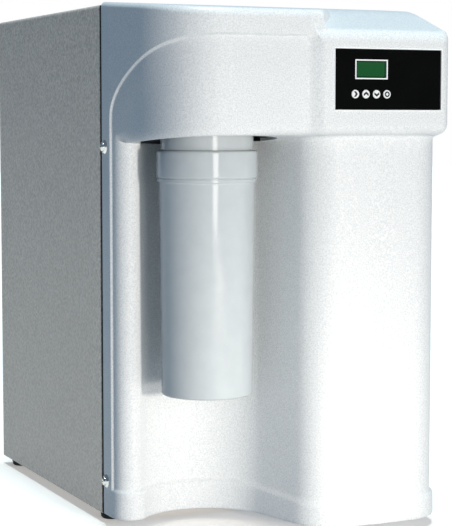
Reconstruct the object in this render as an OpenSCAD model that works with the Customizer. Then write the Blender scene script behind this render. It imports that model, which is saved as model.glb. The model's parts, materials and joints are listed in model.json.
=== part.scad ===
// Bench-top reverse osmosis water purifier: a sheet-metal cabinet behind a deep moulded front
// cover, with a filter bowl in an open bay and a control panel above a hollow column.
// Millimetres, +Z up, front towards -Y, origin under the middle of the whole object.

/* [Cabinet] */
// Width of the cabinet and of the cover's rear edge
cab_w = 330; // [320:5:380]
// Depth of the cabinet behind the cover
cab_d = 342; // [335:1:420]
// Height of the cabinet above its feet
cab_h = 520; // [510:5:580]
// Sheet thickness of the wrap and of the back panel
sheet_t = 1.2; // [1:0.1:1.6]
// Outer bend radius along the top edges of the wrap
bend_r = 4; // [2.5:0.5:8]
// Width of the wrap's inward lips at the front and the rear
lip_w = 12; // [8:1:16]
// Width of the wrap's inward flanges under the tray
sole_w = 34; // [28:1:50]
// Thickness of the base tray and of the chassis plate
plate_t = 1.5; // [1.2:0.1:2]
// Height of the tray's upstands
tray_rim = 14; // [8:1:16]
// Gap between sheet parts that slip into each other
slip = 0.3; // [0.2:0.05:0.5]

/* [Feet] */
// Height of the rubber feet
foot_h = 10; // [8:1:20]
// Radius of a foot where it meets the cabinet
foot_r = 13; // [11:0.5:15]
// Distance of a foot's axis from the cabinet's outer faces
foot_inset = 18; // [16:1:24]
// Radius of the foot screws
foot_screw_r = 2.5; // [2:0.1:3]

/* [Front cover] */
// Wall thickness of the moulded cover
wall = 3.2; // [2.4:0.1:3.4]
// Height of the raised border above the surfaces that it frames
step = 3.6; // [3.5:0.1:5]
// Thickness of the foam gasket between the cabinet and the cover
gasket_t = 6; // [3:0.5:8]
// Set-back of the gasket from the cabinet's outer faces
gasket_inset = 0.8; // [0.4:0.1:1.5]
// Width of the raised border along the cover's rear edge
band_v = 24; // [23:0.5:30]
// Draft of the cover's sides
draft = 7; // [3:0.5:8]
// Rise of the cover's rear edge above the cabinet's top
cover_lift = 2.9; // [0:0.1:4]
// Fall of the cover's top towards the front, in each 100 mm
top_drop = 8; // [5:0.5:10]
// Reach of the display housing in front of the cabinet
mod_reach = 172; // [168:1:190]
// Height of the display housing's face above the plain head
mod_proud = 9; // [6:0.5:12]
// Corner radius of the display housing
mod_r = 12; // [8:1:16]
// Width of the display housing from the cabinet's right side
mod_w = 173; // [168:1:180]
// Width of the slope on the display housing's left edge
mod_flank = 10; // [6:1:14]
// Fall of the display housing's sloping top
slope_fall = 16.5; // [12:0.5:18]
// Distance from the cabinet to the start of that slope
slope_v = 81; // [60:1:95]
// Corner radius of the head above the bay
head_r = 50; // [36:1:54]
// Height of the head, from its lower front edge to the cabinet's top
head_h = 130; // [120:1:134]
// Rise of the head's underside towards the front
under_rise = 5; // [2:0.5:7]
// Rounding of the head's upper front edge
brow_r = 9; // [6:1:12]
// Rounding of the head's lower front edge
lip_r = 6; // [4.5:0.5:8]
// Set-back of the column's face behind the display housing's face
col_back = 14; // [10:1:22]
// Corner radius of the column
col_r = 43; // [30:1:46]
// Radius of the column's crowned face
crown_r = 420; // [300:10:900]
// Slant of the column's flank beside the bay
flank = 15; // [8:1:18]
// Reach of the ridge on the left of the bay
ridge_reach = 45; // [42:1:50]
// Rounding of that ridge
ridge_r = 14; // [10:1:16]
// Height of the raised plinth round the foot of the cover
plinth_h = 30; // [20:1:40]

/* [Display] */
// Width of the black control panel
panel_w = 117.5; // [116:0.5:122]
// Height of the black control panel
panel_h = 57.5; // [54:0.5:62]
// Thickness of the black control panel
panel_t = 1.4; // [1:0.1:1.6]
// Distance of the panel's right edge from the cabinet's right side
panel_right = 34; // [31:0.5:38]
// Height of the panel's lower edge above the head's lower edge
panel_up = 24.5; // [22:0.5:32]
// Width of the moulded bead round the panel
bead_w = 1.6; // [1:0.1:2]
// Height of that bead
bead_h = 0.7; // [0.4:0.1:0.8]
// Width of the screen's frame
lcd_w = 36; // [30:0.5:38]
// Height of the screen's frame
lcd_h = 19; // [16:0.5:20]
// Width of the screen frame's border
lcd_rim = 1.2; // [0.8:0.1:2]
// Distance of the screen from the panel's left edge
lcd_left = 21.2; // [16:0.2:26]
// Distance of the screen from the panel's upper edge
lcd_down = 9.5; // [7:0.5:10]
// Diameter of the round keys
key_d = 8.2; // [7:0.1:9]
// Spacing of the round keys
key_pitch = 11.7; // [11:0.1:12.5]
// Height of the keys' axis above the panel's lower edge
key_up_z = 14.5; // [12:0.5:15.5]
// Distance of the first key's axis from the panel's left edge
key_left = 21.4; // [18:0.2:24]
// Height of a key above the panel
key_proud = 0.9; // [0.8:0.1:1.5]
// Travel of a key
key_travel = 0.6; // [0.4:0.1:0.7]

/* [Filter] */
// Distance of the filter's axis from the cabinet's left side
bowl_u = 80; // [78:0.5:84]
// Set-back of the filter's axis behind the display housing's face
bowl_back = 84.5; // [82:0.5:87]
// Length of the filter bowl with its collar
bowl_l = 243; // [200:1:260]
// Radius of the bowl at its foot
bowl_r0 = 45.5; // [44:0.5:46.5]
// Radius of the bowl below its collar
bowl_r1 = 47.7; // [46:0.1:48.5]
// Wall thickness of the bowl
bowl_wall = 4; // [3:0.2:4.5]
// Radius of the bowl's collar
collar_r = 50; // [49:0.5:53]
// Height of the bowl's collar
collar_h = 29; // [25:1:34]
// Drop of the collar's upper edge below the head's lower front edge
collar_drop = 15.4; // [14:0.2:18]
// Radius of the fixed filter head's visible neck
neck_r = 46; // [44.5:0.5:48]
// Radius of the spigot that the collar screws on to
spigot_r = 42.6; // [40:0.2:43]
// Length of that spigot
spigot_l = 22; // [20:1:23]
// Travel of the bowl along its thread
thread_travel = 18; // [12:1:20]
// Radius of the filter element
element_r = 31; // [28:0.5:33]
// Radius of the element's centre bore
core_r = 13; // [11:0.5:15]

/* [Membrane] */
// Radius of the pressure vessel
vessel_r = 44; // [36:1:46]
// Wall thickness of the pressure vessel
vessel_wall = 4; // [3:0.2:5]
// Length of the pressure vessel without its cap
vessel_l = 265; // [240:1:270]
// Height of the vessel's foot above the cabinet's bottom
vessel_z = 60; // [56:1:66]
// Distance of the vessel's axis in front of the cabinet
vessel_v = 70; // [64:1:74]
// Radius of the membrane's core tube
membrane_core_r = 8.5; // [7:0.5:10]

/* [Pump] */
// Radius of the pump's motor
motor_r = 31; // [28:0.5:34]
// Length of the pump's motor
motor_l = 84; // [76:1:90]
// Width and height of the pump head
pump_w = 80; // [72:1:84]
// Length of the pump head
pump_l = 38; // [34:1:42]
// Radius of the motor shaft
shaft_r = 4; // [3:0.5:5]
// Running clearance of the shaft
shaft_gap = 0.05; // [0.02:0.01:0.08]
// Throw of the pump's eccentric
throw = 2; // [1:0.25:3]

/* [Rear fittings] */
// Outer diameter of the tubes that the rear ports take
port_tube_d = 8; // [6:0.5:10]
// Spacing of the rear ports
port_pitch = 45; // [40:1:50]
// Distance of the first rear port from the cabinet's left side
port_u = 100; // [96:1:104]
// Height of the rear ports
port_z = 150; // [146:1:160]
// Reach of the rear ports behind the cabinet
port_reach = 20; // [18:1:26]
// Travel of a port's release collar
collet_travel = 1.2; // [0.8:0.1:1.4]
// Outer diameter of the tubes inside the cabinet
hose_d = 6.4; // [6:0.2:8]

/* [Hidden] */
$fn = 64;

// Overshoot of a cut past the face that it opens
cut = 1;
// Places: u runs from the cabinet's left side, v forward and w backward from its front edge
depth = mod_reach + key_proud + cab_d + port_reach;
front_y = mod_reach + key_proud - depth / 2;
// Colours
white = [0.92, 0.93, 0.93];
grey_paint = [0.55, 0.55, 0.55];
black = [0.06, 0.06, 0.07];
steel = [0.75, 0.76, 0.78];
bowl_grey = [0.74, 0.77, 0.8];
blue = [0.15, 0.3, 0.6];

module in_front() translate([-cab_w / 2, front_y, foot_h]) mirror([0, 1, 0]) children();
module in_cab() translate([-cab_w / 2, front_y, foot_h]) children();

// An outline in v and z, drawn out along u
module along_u(u0, u1) translate([u0, 0, 0]) rotate([90, 0, 90]) linear_extrude(u1 - u0) children();
// An outline in u and z, drawn out along v
module along_v(v0, v1) translate([0, v1, 0]) rotate([90, 0, 0]) linear_extrude(v1 - v0) children();
module post_v(r, v0, v1) translate([0, v1, 0]) rotate([90, 0, 0]) cylinder(r = r, h = v1 - v0);
module post_u(r, u0, u1) translate([u0, 0, 0]) rotate([0, 90, 0]) cylinder(r = r, h = u1 - u0);
module box(low, high) translate(low) cube(high - low);

function arc(c, r, a0, a1, n = 10) =
  [for (i = [0:n]) c + r * [cos(a0 + (a1 - a0) * i / n), sin(a0 + (a1 - a0) * i / n)]];
function flip(p) = [cab_w - p[0], p[1]];

mod_u = cab_w - mod_w;
lip_z = cab_h - head_h;
col_reach = mod_reach - col_back;
bowl_v = mod_reach - bowl_back;

// Cabinet

tray_z = sheet_t + plate_t;
foot_at = [for (u = [foot_inset, cab_w - foot_inset], w = [foot_inset, cab_d - foot_inset]) [u, w, 0]];
tongue_u = lip_w + sheet_t + slip;

module base_tray() color(steel) in_cab() difference() {
  union() {
    difference() {
      box([sheet_t + slip, sheet_t + slip, sheet_t],
        [cab_w - sheet_t - slip, cab_d - 2 * sheet_t - slip, tray_z + tray_rim]);
      box([sheet_t + slip + plate_t, sheet_t + slip + plate_t, tray_z],
        [cab_w - sheet_t - slip - plate_t, cab_d, tray_z + tray_rim + cut]);
    }
    box([tongue_u, cab_d - 3 * sheet_t, sheet_t], [cab_w - tongue_u, cab_d - sheet_t, tray_z]);
    box([tongue_u, cab_d - sheet_t - plate_t, sheet_t],
      [cab_w - tongue_u, cab_d - sheet_t, tray_z + tray_rim]);
  }
  for (p = foot_at) translate(p) cylinder(r = foot_screw_r + 0.2, h = tray_z + cut);
}

module arch(w, h, r) {
  square([w, h - r]);
  translate([r, 0]) square([w - 2 * r, h]);
  for (u = [r, w - r]) translate([u, h - r]) circle(r);
}
// The wrap's hollow between w0 and w1, in from the outer faces
module wrap_hollow(inset, r, floor, w0, w1) translate([inset, w1, floor]) rotate([90, 0, 0])
  linear_extrude(w1 - w0) arch(cab_w - 2 * inset, cab_h - inset - floor, r);

module outer_wrap() color(grey_paint) in_cab() difference() {
  translate([0, cab_d, 0]) rotate([90, 0, 0]) linear_extrude(cab_d) arch(cab_w, cab_h, bend_r);
  wrap_hollow(sheet_t, bend_r - sheet_t, sheet_t, sheet_t, cab_d - 2 * sheet_t);
  wrap_hollow(sheet_t + lip_w, 1, sheet_t, -cut, cab_d);
  wrap_hollow(sheet_t, bend_r - sheet_t, sheet_t, cab_d - sheet_t, cab_d + cut);
  box([sole_w, -cut, -cut], [cab_w - sole_w, cab_d + cut, sheet_t + cut]);
  for (p = foot_at) translate(p) translate([0, 0, -cut]) cylinder(r = foot_screw_r + 0.2, h = 9);
  for (p = back_screw_at) translate([p[0], 0, p[1]]) post_v(1.6, cab_d - 3 * sheet_t, cab_d);
}

back_screw_u = sheet_t + lip_w / 2;
back_screw_at = concat(
  [for (u = [back_screw_u, cab_w - back_screw_u], z = [60, cab_h / 2, cab_h - 60]) [u, z]],
  [[cab_w / 2, cab_h - back_screw_u]]);
inlet_u = cab_w - 75;
inlet_z = 115;
inlet_w = 31;
inlet_h = 64;
vent_n = 9;

module back_panel() color(grey_paint) in_cab() difference() {
  wrap_hollow(sheet_t + slip, bend_r - sheet_t, sheet_t + slip, cab_d - sheet_t, cab_d);
  for (i = [0:2]) translate([port_u + i * port_pitch, 0, port_z])
    post_v(port_body_r + 0.2, cab_d - 2 * sheet_t, cab_d + cut);
  box([inlet_u - inlet_w / 2, cab_d - 2 * sheet_t, inlet_z - inlet_h / 2],
    [inlet_u + inlet_w / 2, cab_d + cut, inlet_z + inlet_h / 2]);
  for (p = back_screw_at) translate([p[0], 0, p[1]]) post_v(1.7, cab_d - 2 * sheet_t, cab_d + cut);
  for (u = [95, cab_w - 95], i = [0:vent_n - 1]) translate([u, 0, cab_h - 190 + 12 * i])
    along_v(cab_d - 2 * sheet_t, cab_d + cut) {
      square([70, 4], center = true);
      for (x = [-35, 35]) translate([x, 0]) circle(2);
    }
}

module back_screws() color(steel) in_cab() for (p = back_screw_at) translate([p[0], 0, p[1]]) {
  post_v(1.5, cab_d - sheet_t - 5, cab_d);
  post_v(3, cab_d, cab_d + 1.8);
}

frame_u = wall + slip;
frame_reach = band_v - wall - cut;
screw_v = gasket_t + 8.5;
screw_z = [36, lip_z - 13];
hose_r = hose_d / 2;

module chassis_plate() color(steel) in_front() difference() {
  union() {
    box([frame_u, 0, wall + slip], [cab_w - frame_u, plate_t, cab_h - 3 * wall]);
    for (u = [frame_u, cab_w - frame_u - plate_t])
      box([u, 0, wall + slip], [u + plate_t, frame_reach, cab_h - 3 * wall]);
  }
  for (z = screw_z) translate([0, screw_v, z]) post_u(2.1, -cut, cab_w + cut);
  for (p = hose_pass) translate([p[0], 0, p[1]]) post_v(hose_r + 1.5, -cut, plate_t + cut);
}

module ring_outline(inset) translate([inset, inset]) square([cab_w - 2 * inset, cab_h - 2 * inset]);

module cover_gasket() color(black) in_front() along_v(0, gasket_t) difference() {
  ring_outline(gasket_inset);
  ring_outline(wall);
}

module feet() color(black) in_cab() for (p = foot_at) translate(p) difference() {
  translate([0, 0, -foot_h]) rotate_extrude() polygon([[0, 0], [foot_r - 3, 0], [foot_r - 1.5, 1.5],
    [foot_r, foot_h], [0, foot_h]]);
  translate([0, 0, -foot_h - cut]) cylinder(r = foot_head[0] + 1, h = foot_h / 2 + cut);
  translate([0, 0, -foot_h]) cylinder(r = foot_screw_r + 0.2, h = 2 * foot_h);
}

foot_nut_r = foot_screw_r + 2.1;
foot_nut_h = 4;
foot_head = [foot_screw_r + 2, 3];

module foot_screws() color(steel) in_cab() for (p = foot_at) translate(p) {
  translate([0, 0, -foot_h / 2]) cylinder(r = foot_screw_r, h = foot_h / 2 + tray_z + 1.5 * foot_nut_h);
  translate([0, 0, -foot_h / 2 - foot_head[1]]) cylinder(r = foot_head[0], h = foot_head[1]);
  translate([0, 0, tray_z]) difference() {
    cylinder(r = foot_nut_r, h = foot_nut_h, $fn = 6);
    translate([0, 0, -cut]) cylinder(r = foot_screw_r + 0.05, h = foot_nut_h + 2 * cut);
  }
}

// Front cover

niche_c = [bowl_u, bowl_v];
head_reach = mod_reach - mod_proud;

// Left edge of the cover at v, grown outward by g
function side_at(v, g) = step - g / cos(draft) + (v - band_v) * tan(draft);
function side_foot(g) = [[step - g, 0], [step - g, band_v + g * tan(draft / 2)]];
function mirrored(p) = [for (i = [len(p) - 1:-1:0]) flip(p[i])];
// Centre of a corner of radius r that touches the drafted side at v
function corner(v, r) = [side_at(v, 0) + r / cos(draft), v];

ridge_c = corner(ridge_reach - ridge_r, ridge_r);
ridge_turn = atan2(niche_c[1] - ridge_c[1], niche_c[0] - ridge_c[0]);
niche_r = norm(niche_c - ridge_c) - ridge_r;
flank_p = niche_c + niche_r * [cos(flank), -sin(flank)];
col_v = col_reach - col_r;
col_l = [flank_p[0] + (col_v - flank_p[1]) * tan(flank) + col_r / cos(flank), col_v];
col_rc = flip(corner(col_v, col_r));
col_u = (col_l[0] + col_rc[0]) / 2;
crown_c = [col_u, col_v - sqrt((crown_r - col_r) ^ 2 - (col_u - col_l[0]) ^ 2)];
crown_turn = atan2(col_l[1] - crown_c[1], col_l[0] - crown_c[0]);
head_c = corner(head_reach - head_r, head_r);
mod_c = flip(corner(mod_reach - mod_r, mod_r));

// The bay's wall, and the opening above it that the filter's neck passes through
function bay_arc(g) = arc(niche_c, niche_r - g, 180 + ridge_turn, 360 - flank, 22);
mouth_n = 32;
mouth_turn = (180 + ridge_turn + flank) / mouth_n;
module bay_mouth() polygon(concat(bay_arc(0), arc(niche_c, niche_r, mouth_turn - flank,
  180 + ridge_turn - mouth_turn, mouth_n - 2)));

// Plan of the foot of the cover: ridge, bay and column
module lower_plan(g) polygon(concat(
  side_foot(g),
  arc(ridge_c, ridge_r + g, 180 - draft, ridge_turn),
  bay_arc(g),
  arc(col_l, col_r + g, 180 - flank, crown_turn),
  arc(crown_c, crown_r + g, crown_turn, 180 - crown_turn, 6),
  arc(col_rc, col_r + g, 180 - crown_turn, draft),
  mirrored(side_foot(g))));

module head_plan(g) polygon(concat(
  side_foot(g),
  arc(head_c, head_r + g, 180 - draft, 90),
  [flip([side_at(head_reach + g, g), head_reach + g])],
  mirrored(side_foot(g))));

module mod_plan(g) polygon(concat(
  [[mod_u - g, 0], [mod_u - g, head_reach + g], [mod_u + mod_flank - g, mod_reach + g]],
  arc(mod_c, mod_r + g, 90, draft, 6),
  mirrored(side_foot(g))));

function under_z(v, g) = lip_z - g / cos(under_rise) - (mod_reach - v) * tan(under_rise);
cover_h = cab_h + cover_lift;
top_fall = atan(top_drop / 100);
function top_z(v, g) = cover_h - step + g / cos(top_fall) - v * tan(top_fall);

// Side view of a block whose top falls from (break_v, break_z) to a rounded front
module side_view(front, g, break_v, break_z, fall, r) {
  low = front - lip_r - g;
  high = front - r;
  polygon(concat(
    [[0, under_z(0, g)]],
    arc([low, under_z(low, g) + (lip_r + g) / cos(under_rise)], lip_r + g, 270 + under_rise, 360, 5),
    arc([high, break_z - (high - break_v) * tan(fall) - r / cos(fall)], r, 0, 90 - fall, 6),
    [[break_v, break_z], [0, break_z + break_v * tan(top_fall)]]));
}

module head_block(g) intersection() {
  linear_extrude(cover_h + step) head_plan(g);
  along_u(-cut, cab_w + cut) side_view(head_reach + g, g, band_v, top_z(band_v, g), top_fall, brow_r);
}
module mod_block(g) intersection() {
  linear_extrude(cover_h + step) mod_plan(g);
  along_u(-cut, cab_w + cut)
    side_view(mod_reach + g, g, slope_v, top_z(slope_v, step + g), slope_fall, brow_r + mod_flank / 2 + g);
}
// Everything below the head's underside, raised by up
module below_head(up) along_u(-cut, cab_w + cut)
  polygon([[-cut, -cut], [mod_reach, -cut], [mod_reach, under_z(mod_reach, 0) + up],
    [-cut, under_z(-cut, 0) + up]]);
module lower_block(g, z0, up) intersection() {
  translate([0, 0, z0]) linear_extrude(cab_h) lower_plan(g);
  below_head(up);
}

// The raised border's edge climbs from the rear band to the brow in one sweep
function sweep(p, t) = (1 - t) ^ 3 * p[0] + 3 * (1 - t) ^ 2 * t * p[1]
  + 3 * (1 - t) * t ^ 2 * p[2] + t ^ 3 * p[3];
brow_z = cab_h - 36;
border = [[band_v, cab_h - 118], [band_v, cab_h - 74], [90, cab_h - 51], [mod_reach, brow_z]];
cap_end_u = mod_u - 3;
cap_lean = 18;

module brow_block(g) intersection() {
  head_block(g);
  translate([0, g - step, step - g]) along_u(-cut, cab_w + cut)
    polygon(concat([for (i = [0:16]) sweep(border, i / 16)],
      [[2 * mod_reach, brow_z], [2 * mod_reach, 2 * cab_h], [-2 * step, 2 * cab_h],
       [-2 * step, border[0][1]]]));
  translate([g - step, 0, 0]) along_v(-cut, 2 * mod_reach)
    polygon([[-cut, 0], [cap_end_u, 0], [cap_end_u, brow_z + 4], [cap_end_u + cap_lean, cab_h - 18],
      [cap_end_u + cap_lean, 2 * cab_h], [-cut, 2 * cab_h]]);
}

// Straight bands of the border along both rear edges, or their hollow for g below 0
module side_bands(g) intersection() {
  for (u = [-g, cab_w - step - wall]) translate([u, 0, 0])
    box([0, -cut, g < 0 ? wall : 0], [step + wall + g, band_v + g, cover_h + step]);
  along_u(-cut, cab_w + cut) polygon([[-cut, 0], [band_v, 0], [band_v, top_z(band_v, step + g)],
    [-cut, top_z(-cut, step + g)]]);
}

panel_u = cab_w - panel_right - panel_w;
panel_z = lip_z + panel_up;
panel_gap = 0.25;
ledge = 5;
boss_r = 3.2;
boss_l = 8;
boss_root = 0.5;
boss_bore = 1.3;
boss_off = [panel_w / 2 - ledge + boss_r + 1, panel_h / 2 - 8];
panel_c = [panel_u + panel_w / 2, panel_z + panel_h / 2];

module on_panel() translate([panel_c[0], 0, panel_c[1]]) children();
module panel_slab(grow, v0, v1) along_v(v0, v1)
  square([panel_w + 2 * grow, panel_h + 2 * grow], center = true);
module at_bosses() for (x = [-1, 1], z = [-1, 1]) translate([x * boss_off[0], 0, z * boss_off[1]]) children();

module front_cover() color(white) in_front() {
  difference() {
    union() {
      lower_block(0, 0, wall);
      head_block(0);
      mod_block(0);
      brow_block(step);
      side_bands(0);
      linear_extrude(plinth_h) lower_plan(step);
      on_panel() difference() {
        panel_slab(bead_w + panel_gap, mod_reach - cut, mod_reach + bead_h);
        panel_slab(panel_gap, mod_reach - 2 * cut, mod_reach + 2 * cut);
      }
    }
    box([-cut, -cut, -cut], [cab_w + cut, gasket_t, cover_h + step]);
    lower_block(-wall, wall, wall + cut);
    head_block(-wall);
    mod_block(-wall);
    brow_block(step - wall);
    side_bands(-wall);
    translate([0, 0, wall]) linear_extrude(plinth_h - 2 * wall) lower_plan(step - wall);
    intersection() {
      linear_extrude(cab_h) bay_mouth();
      difference() {
        below_head(wall + cut);
        below_head(-cut);
      }
    }
    on_panel() panel_slab(panel_gap, mod_reach - panel_t, mod_reach + 2 * cut);
    on_panel() panel_slab(-ledge, mod_reach - 2 * wall, mod_reach + 2 * cut);
    for (z = screw_z) translate([0, screw_v, z]) post_u(2.6, -cut, cab_w + cut);
  }
  on_panel() at_bosses() difference() {
    post_v(boss_r, board_v, mod_reach - wall + boss_root);
    post_v(boss_bore, board_v - cut, mod_reach - wall - boss_root);
  }
}

washer_r = 7;
washer_t = 2.6;

module at_cover_screws() for (side = [0, 1], z = screw_z)
  translate([side * cab_w, screw_v, z]) mirror([side, 0, 0]) children();

module cover_washers() color(steel) in_front() at_cover_screws() rotate([0, -90, 0]) difference() {
  rotate_extrude() polygon([[0, 0], [washer_r, 0], [washer_r, 0.6], [5.2, washer_t], [0, washer_t]]);
  translate([0, 0, -cut]) cylinder(r = 2.3, h = 9);
  translate([0, 0, washer_t - 0.8]) cylinder(r = 4.6, h = 9);
}

module cover_screws() color(steel) in_front() at_cover_screws() rotate([0, -90, 0]) {
  translate([0, 0, -frame_u - plate_t - 4]) cylinder(r = 2, h = frame_u + plate_t + 4 + washer_t);
  difference() {
    translate([0, 0, washer_t - 0.8]) rotate_extrude()
      polygon([[0, 0], [4.4, 0], [4.4, 1.2], [3.6, 2.4], [2, 3], [0, 3.1]]);
    for (a = [0, 90]) rotate(a) translate([-2.4, -0.4, washer_t + 0.9]) cube([4.8, 0.8, 3]);
  }
}

// Display

lcd_at = [panel_u + lcd_left + lcd_w / 2, panel_z + panel_h - lcd_down - lcd_h / 2];
key_at = [for (i = [0:3]) [panel_u + key_left + i * key_pitch, panel_z + key_up_z]];
key_gap = 0.2;
panel_back = mod_reach - panel_t;
board_v = mod_reach - wall - boss_l;
board_t = 1.6;
board_chip = [16, 2, 16];
board_plug = [30, 9, 8];
key_flange_r = key_d / 2 + 0.9;
switch_h = 3.5;
nib_v = board_v + switch_h + 1.1;

module display_panel() color(black) in_front() difference() {
  on_panel() panel_slab(0, panel_back, mod_reach);
  translate([lcd_at[0], 0, lcd_at[1]]) along_v(panel_back - cut, mod_reach + cut)
    square([lcd_w + 0.4, lcd_h + 0.4], center = true);
  for (p = key_at) translate([p[0], 0, p[1]]) post_v(key_d / 2 + key_gap, panel_back - cut, mod_reach + cut);
}

module lcd_bezel() color(white) in_front() translate([lcd_at[0], 0, lcd_at[1]])
  along_v(panel_back, mod_reach + 0.4) difference() {
    square([lcd_w, lcd_h], center = true);
    square([lcd_w - 2 * lcd_rim, lcd_h - 2 * lcd_rim], center = true);
  }

module lcd_module() color([0.12, 0.35, 0.17]) in_front() translate([lcd_at[0], 0, lcd_at[1]])
  along_v(board_v, panel_back) square([lcd_w + 3, lcd_h + 4], center = true);

module round_key(i) color(white) in_front() translate([key_at[i][0], 0, key_at[i][1]]) {
  post_v(key_d / 2, panel_back - 0.1, mod_reach + key_proud);
  post_v(key_flange_r, panel_back - 1.2, panel_back - 0.1);
  post_v(2, nib_v + key_travel + 0.2, panel_back - 1.2);
}
module key_right() round_key(0);
module key_up() round_key(1);
module key_down() round_key(2);
module key_enter() round_key(3);

module control_board() color([0.1, 0.35, 0.15]) in_front() difference() {
  on_panel() {
    along_v(board_v - board_t, board_v)
      square([2 * boss_off[0] + 2 * boss_r, 2 * boss_off[1] + 2 * boss_r], center = true);
    translate([board_chip[0], board_v - board_t - board_chip[1], -board_chip[0] / 2]) cube(board_chip);
    translate([-2 * board_plug[2] - board_plug[0], board_v - board_t - board_plug[1], board_plug[2]])
      cube(board_plug);
  }
  on_panel() at_bosses() post_v(1.7, board_v - 2 * board_t, board_v + cut);
}

module key_switches() color(black) in_front() for (p = key_at) translate([p[0], 0, p[1]]) {
  along_v(board_v, board_v + switch_h) square(6, center = true);
  post_v(1.75, board_v + switch_h, nib_v);
}

module board_screws() color(steel) in_front() on_panel() at_bosses() {
  post_v(1.2, board_v - board_t, board_v + boss_l - 2);
  post_v(2.6, board_v - board_t - 1.8, board_v - board_t);
}

// Filter

bowl_top = lip_z - collar_drop;
bowl_z = bowl_top - bowl_l;
collar_z = bowl_top - collar_h;
thread_gap = 0.7;
collar_bore = spigot_r + thread_gap;
seal_r = 1;
seal_gap = 0.3;
seal_mid = collar_bore - seal_gap - seal_r;
bowl_floor = bowl_wall + 1.5;
neck_z = bowl_top + 0.6;
spigot_z = neck_z - spigot_l;
head_z = neck_z + 24;
head_top = head_z + 33;
port_off = 32;
port_face_v = 30;
port_mid = head_z + 13;
nipple_l = 10;
bolt_off = 20;
bolt_r = 2;
bolt_l = 10;
bolt_head = [3.8, 2.8];
groove_up = 3;
groove_gap = 0.1;

module at_filter() translate([bowl_u, bowl_v, 0]) children();
module at_bolts(z) for (x = [-1, 1], y = [-1, 1]) translate([x * bolt_off, y * bolt_off, z]) children();

module filter_bowl() color(bowl_grey) in_front() at_filter() difference() {
  rotate_extrude() polygon(concat(
    [[0, bowl_z + 2], [bowl_r0 - 12, bowl_z + 2], [bowl_r0 - 10, bowl_z]],
    arc([bowl_r0 - 6, bowl_z + 6], 6, 270, 360, 5),
    [[bowl_r1, collar_z - 2.5], [bowl_r1, collar_z - 1.2], [collar_r - 0.6, collar_z - 1.2],
     [collar_r - 0.6, collar_z + 1.6], [collar_r, collar_z + 2.4], [collar_r, bowl_top - 1.5],
     [collar_r - 1.5, bowl_top], [0, bowl_top]]));
  rotate_extrude() polygon([[0, bowl_z + bowl_floor + 6], [core_r - 1.2, bowl_z + bowl_floor + 6],
    [core_r - 0.8, bowl_z + bowl_floor], [bowl_r0 - bowl_wall - 5, bowl_z + bowl_floor],
    [bowl_r0 - bowl_wall, bowl_z + bowl_floor + 5], [bowl_r1 - bowl_wall - 2.5, spigot_z - thread_travel],
    [collar_bore, spigot_z - 4], [collar_bore, bowl_top + cut], [0, bowl_top + cut]]);
}

element_z = bowl_z + bowl_floor + 0.2;
element_top = head_z - 6;

module filter_element() color([0.95, 0.95, 0.92]) in_front() at_filter() rotate_extrude()
  polygon([[core_r, element_z], [element_r, element_z], [element_r, element_z + 8],
    [element_r - 1, element_z + 8], [element_r - 1, element_top - 8], [element_r, element_top - 8],
    [element_r, element_top], [core_r, element_top]]);

module filter_head() color(bowl_grey) in_front() difference() {
  at_filter() difference() {
    union() {
      rotate_extrude() polygon([[0, spigot_z], [spigot_r - 1, spigot_z], [spigot_r, spigot_z + 1],
        [spigot_r, neck_z], [neck_r, neck_z], [neck_r, head_z], [neck_r - 6, head_z + 6],
        [neck_r - 6, head_top], [0, head_top]]);
      for (x = [-1, 1]) translate([x * port_off, 0, port_mid]) post_v(11, port_face_v - bowl_v, 0);
    }
    rotate_extrude() polygon([[core_r - 0.5, spigot_z - cut], [spigot_r - 7, spigot_z - cut],
      [spigot_r - 7, element_top + 0.2], [core_r - 0.5, element_top + 0.2]]);
    translate([0, 0, spigot_z - cut]) cylinder(r = core_r, h = element_top - nipple_l - spigot_z + cut);
    translate([0, 0, spigot_z - cut]) cylinder(r = core_r - 4, h = port_mid - spigot_z);
    translate([0, 0, spigot_z + groove_up]) rotate_extrude()
      translate([seal_mid - seal_r - groove_gap, 0]) square([2 * seal_r + cut, 2 * (seal_r + groove_gap)]);
    at_bolts(head_top - bolt_l - 1) cylinder(r = bolt_r + 0.05, h = bolt_l + 2);
  }
}

module head_seal() color(black) in_front() at_filter() translate([0, 0, spigot_z + groove_up + seal_r])
  rotate_extrude() translate([seal_mid, 0]) circle(seal_r);

bracket_t = 2.5;
bracket_half = 42;
bracket_rise = 56;
bracket_nose = 12;
bracket_top = head_top + bracket_rise;
plate_bolt_z = bracket_top - 14;

module filter_bracket() color(steel) in_front() difference() {
  union() {
    box([bowl_u - bracket_half, plate_t, head_top],
      [bowl_u + bracket_half, bowl_v + bolt_off + bracket_nose, head_top + bracket_t]);
    box([bowl_u - bracket_half, plate_t, head_top],
      [bowl_u + bracket_half, plate_t + bracket_t, bracket_top]);
    for (u = [bowl_u - bracket_half, bowl_u + bracket_half - bracket_t]) along_u(u, u + bracket_t)
      polygon([[plate_t, head_top], [bowl_v, head_top], [plate_t, bracket_top]]);
  }
  at_filter() at_bolts(0) cylinder(r = bolt_r + slip, h = cab_h);
  at_plate_bolts() post_v(bolt_r + slip, -cut, bowl_v);
}
module at_plate_bolts() for (x = [-1, 1])
  translate([bowl_u + x * bolt_off, 0, plate_bolt_z]) children();

module bracket_screws() color(steel) in_front() {
  at_filter() at_bolts(head_top) {
    translate([0, 0, -bolt_l]) cylinder(r = bolt_r, h = bolt_l + bracket_t);
    translate([0, 0, bracket_t]) cylinder(r = bolt_head[0], h = bolt_head[1]);
  }
  at_plate_bolts() {
    post_v(bolt_r, plate_t, plate_t + bracket_t);
    post_v(bolt_head[0], plate_t + bracket_t, plate_t + bracket_t + bolt_head[1]);
  }
}

// Membrane

vessel_top = vessel_z + vessel_l;
cap_h = 34;
cap_lap = 7;
stub_l = 16;
drain_off = 22;

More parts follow.
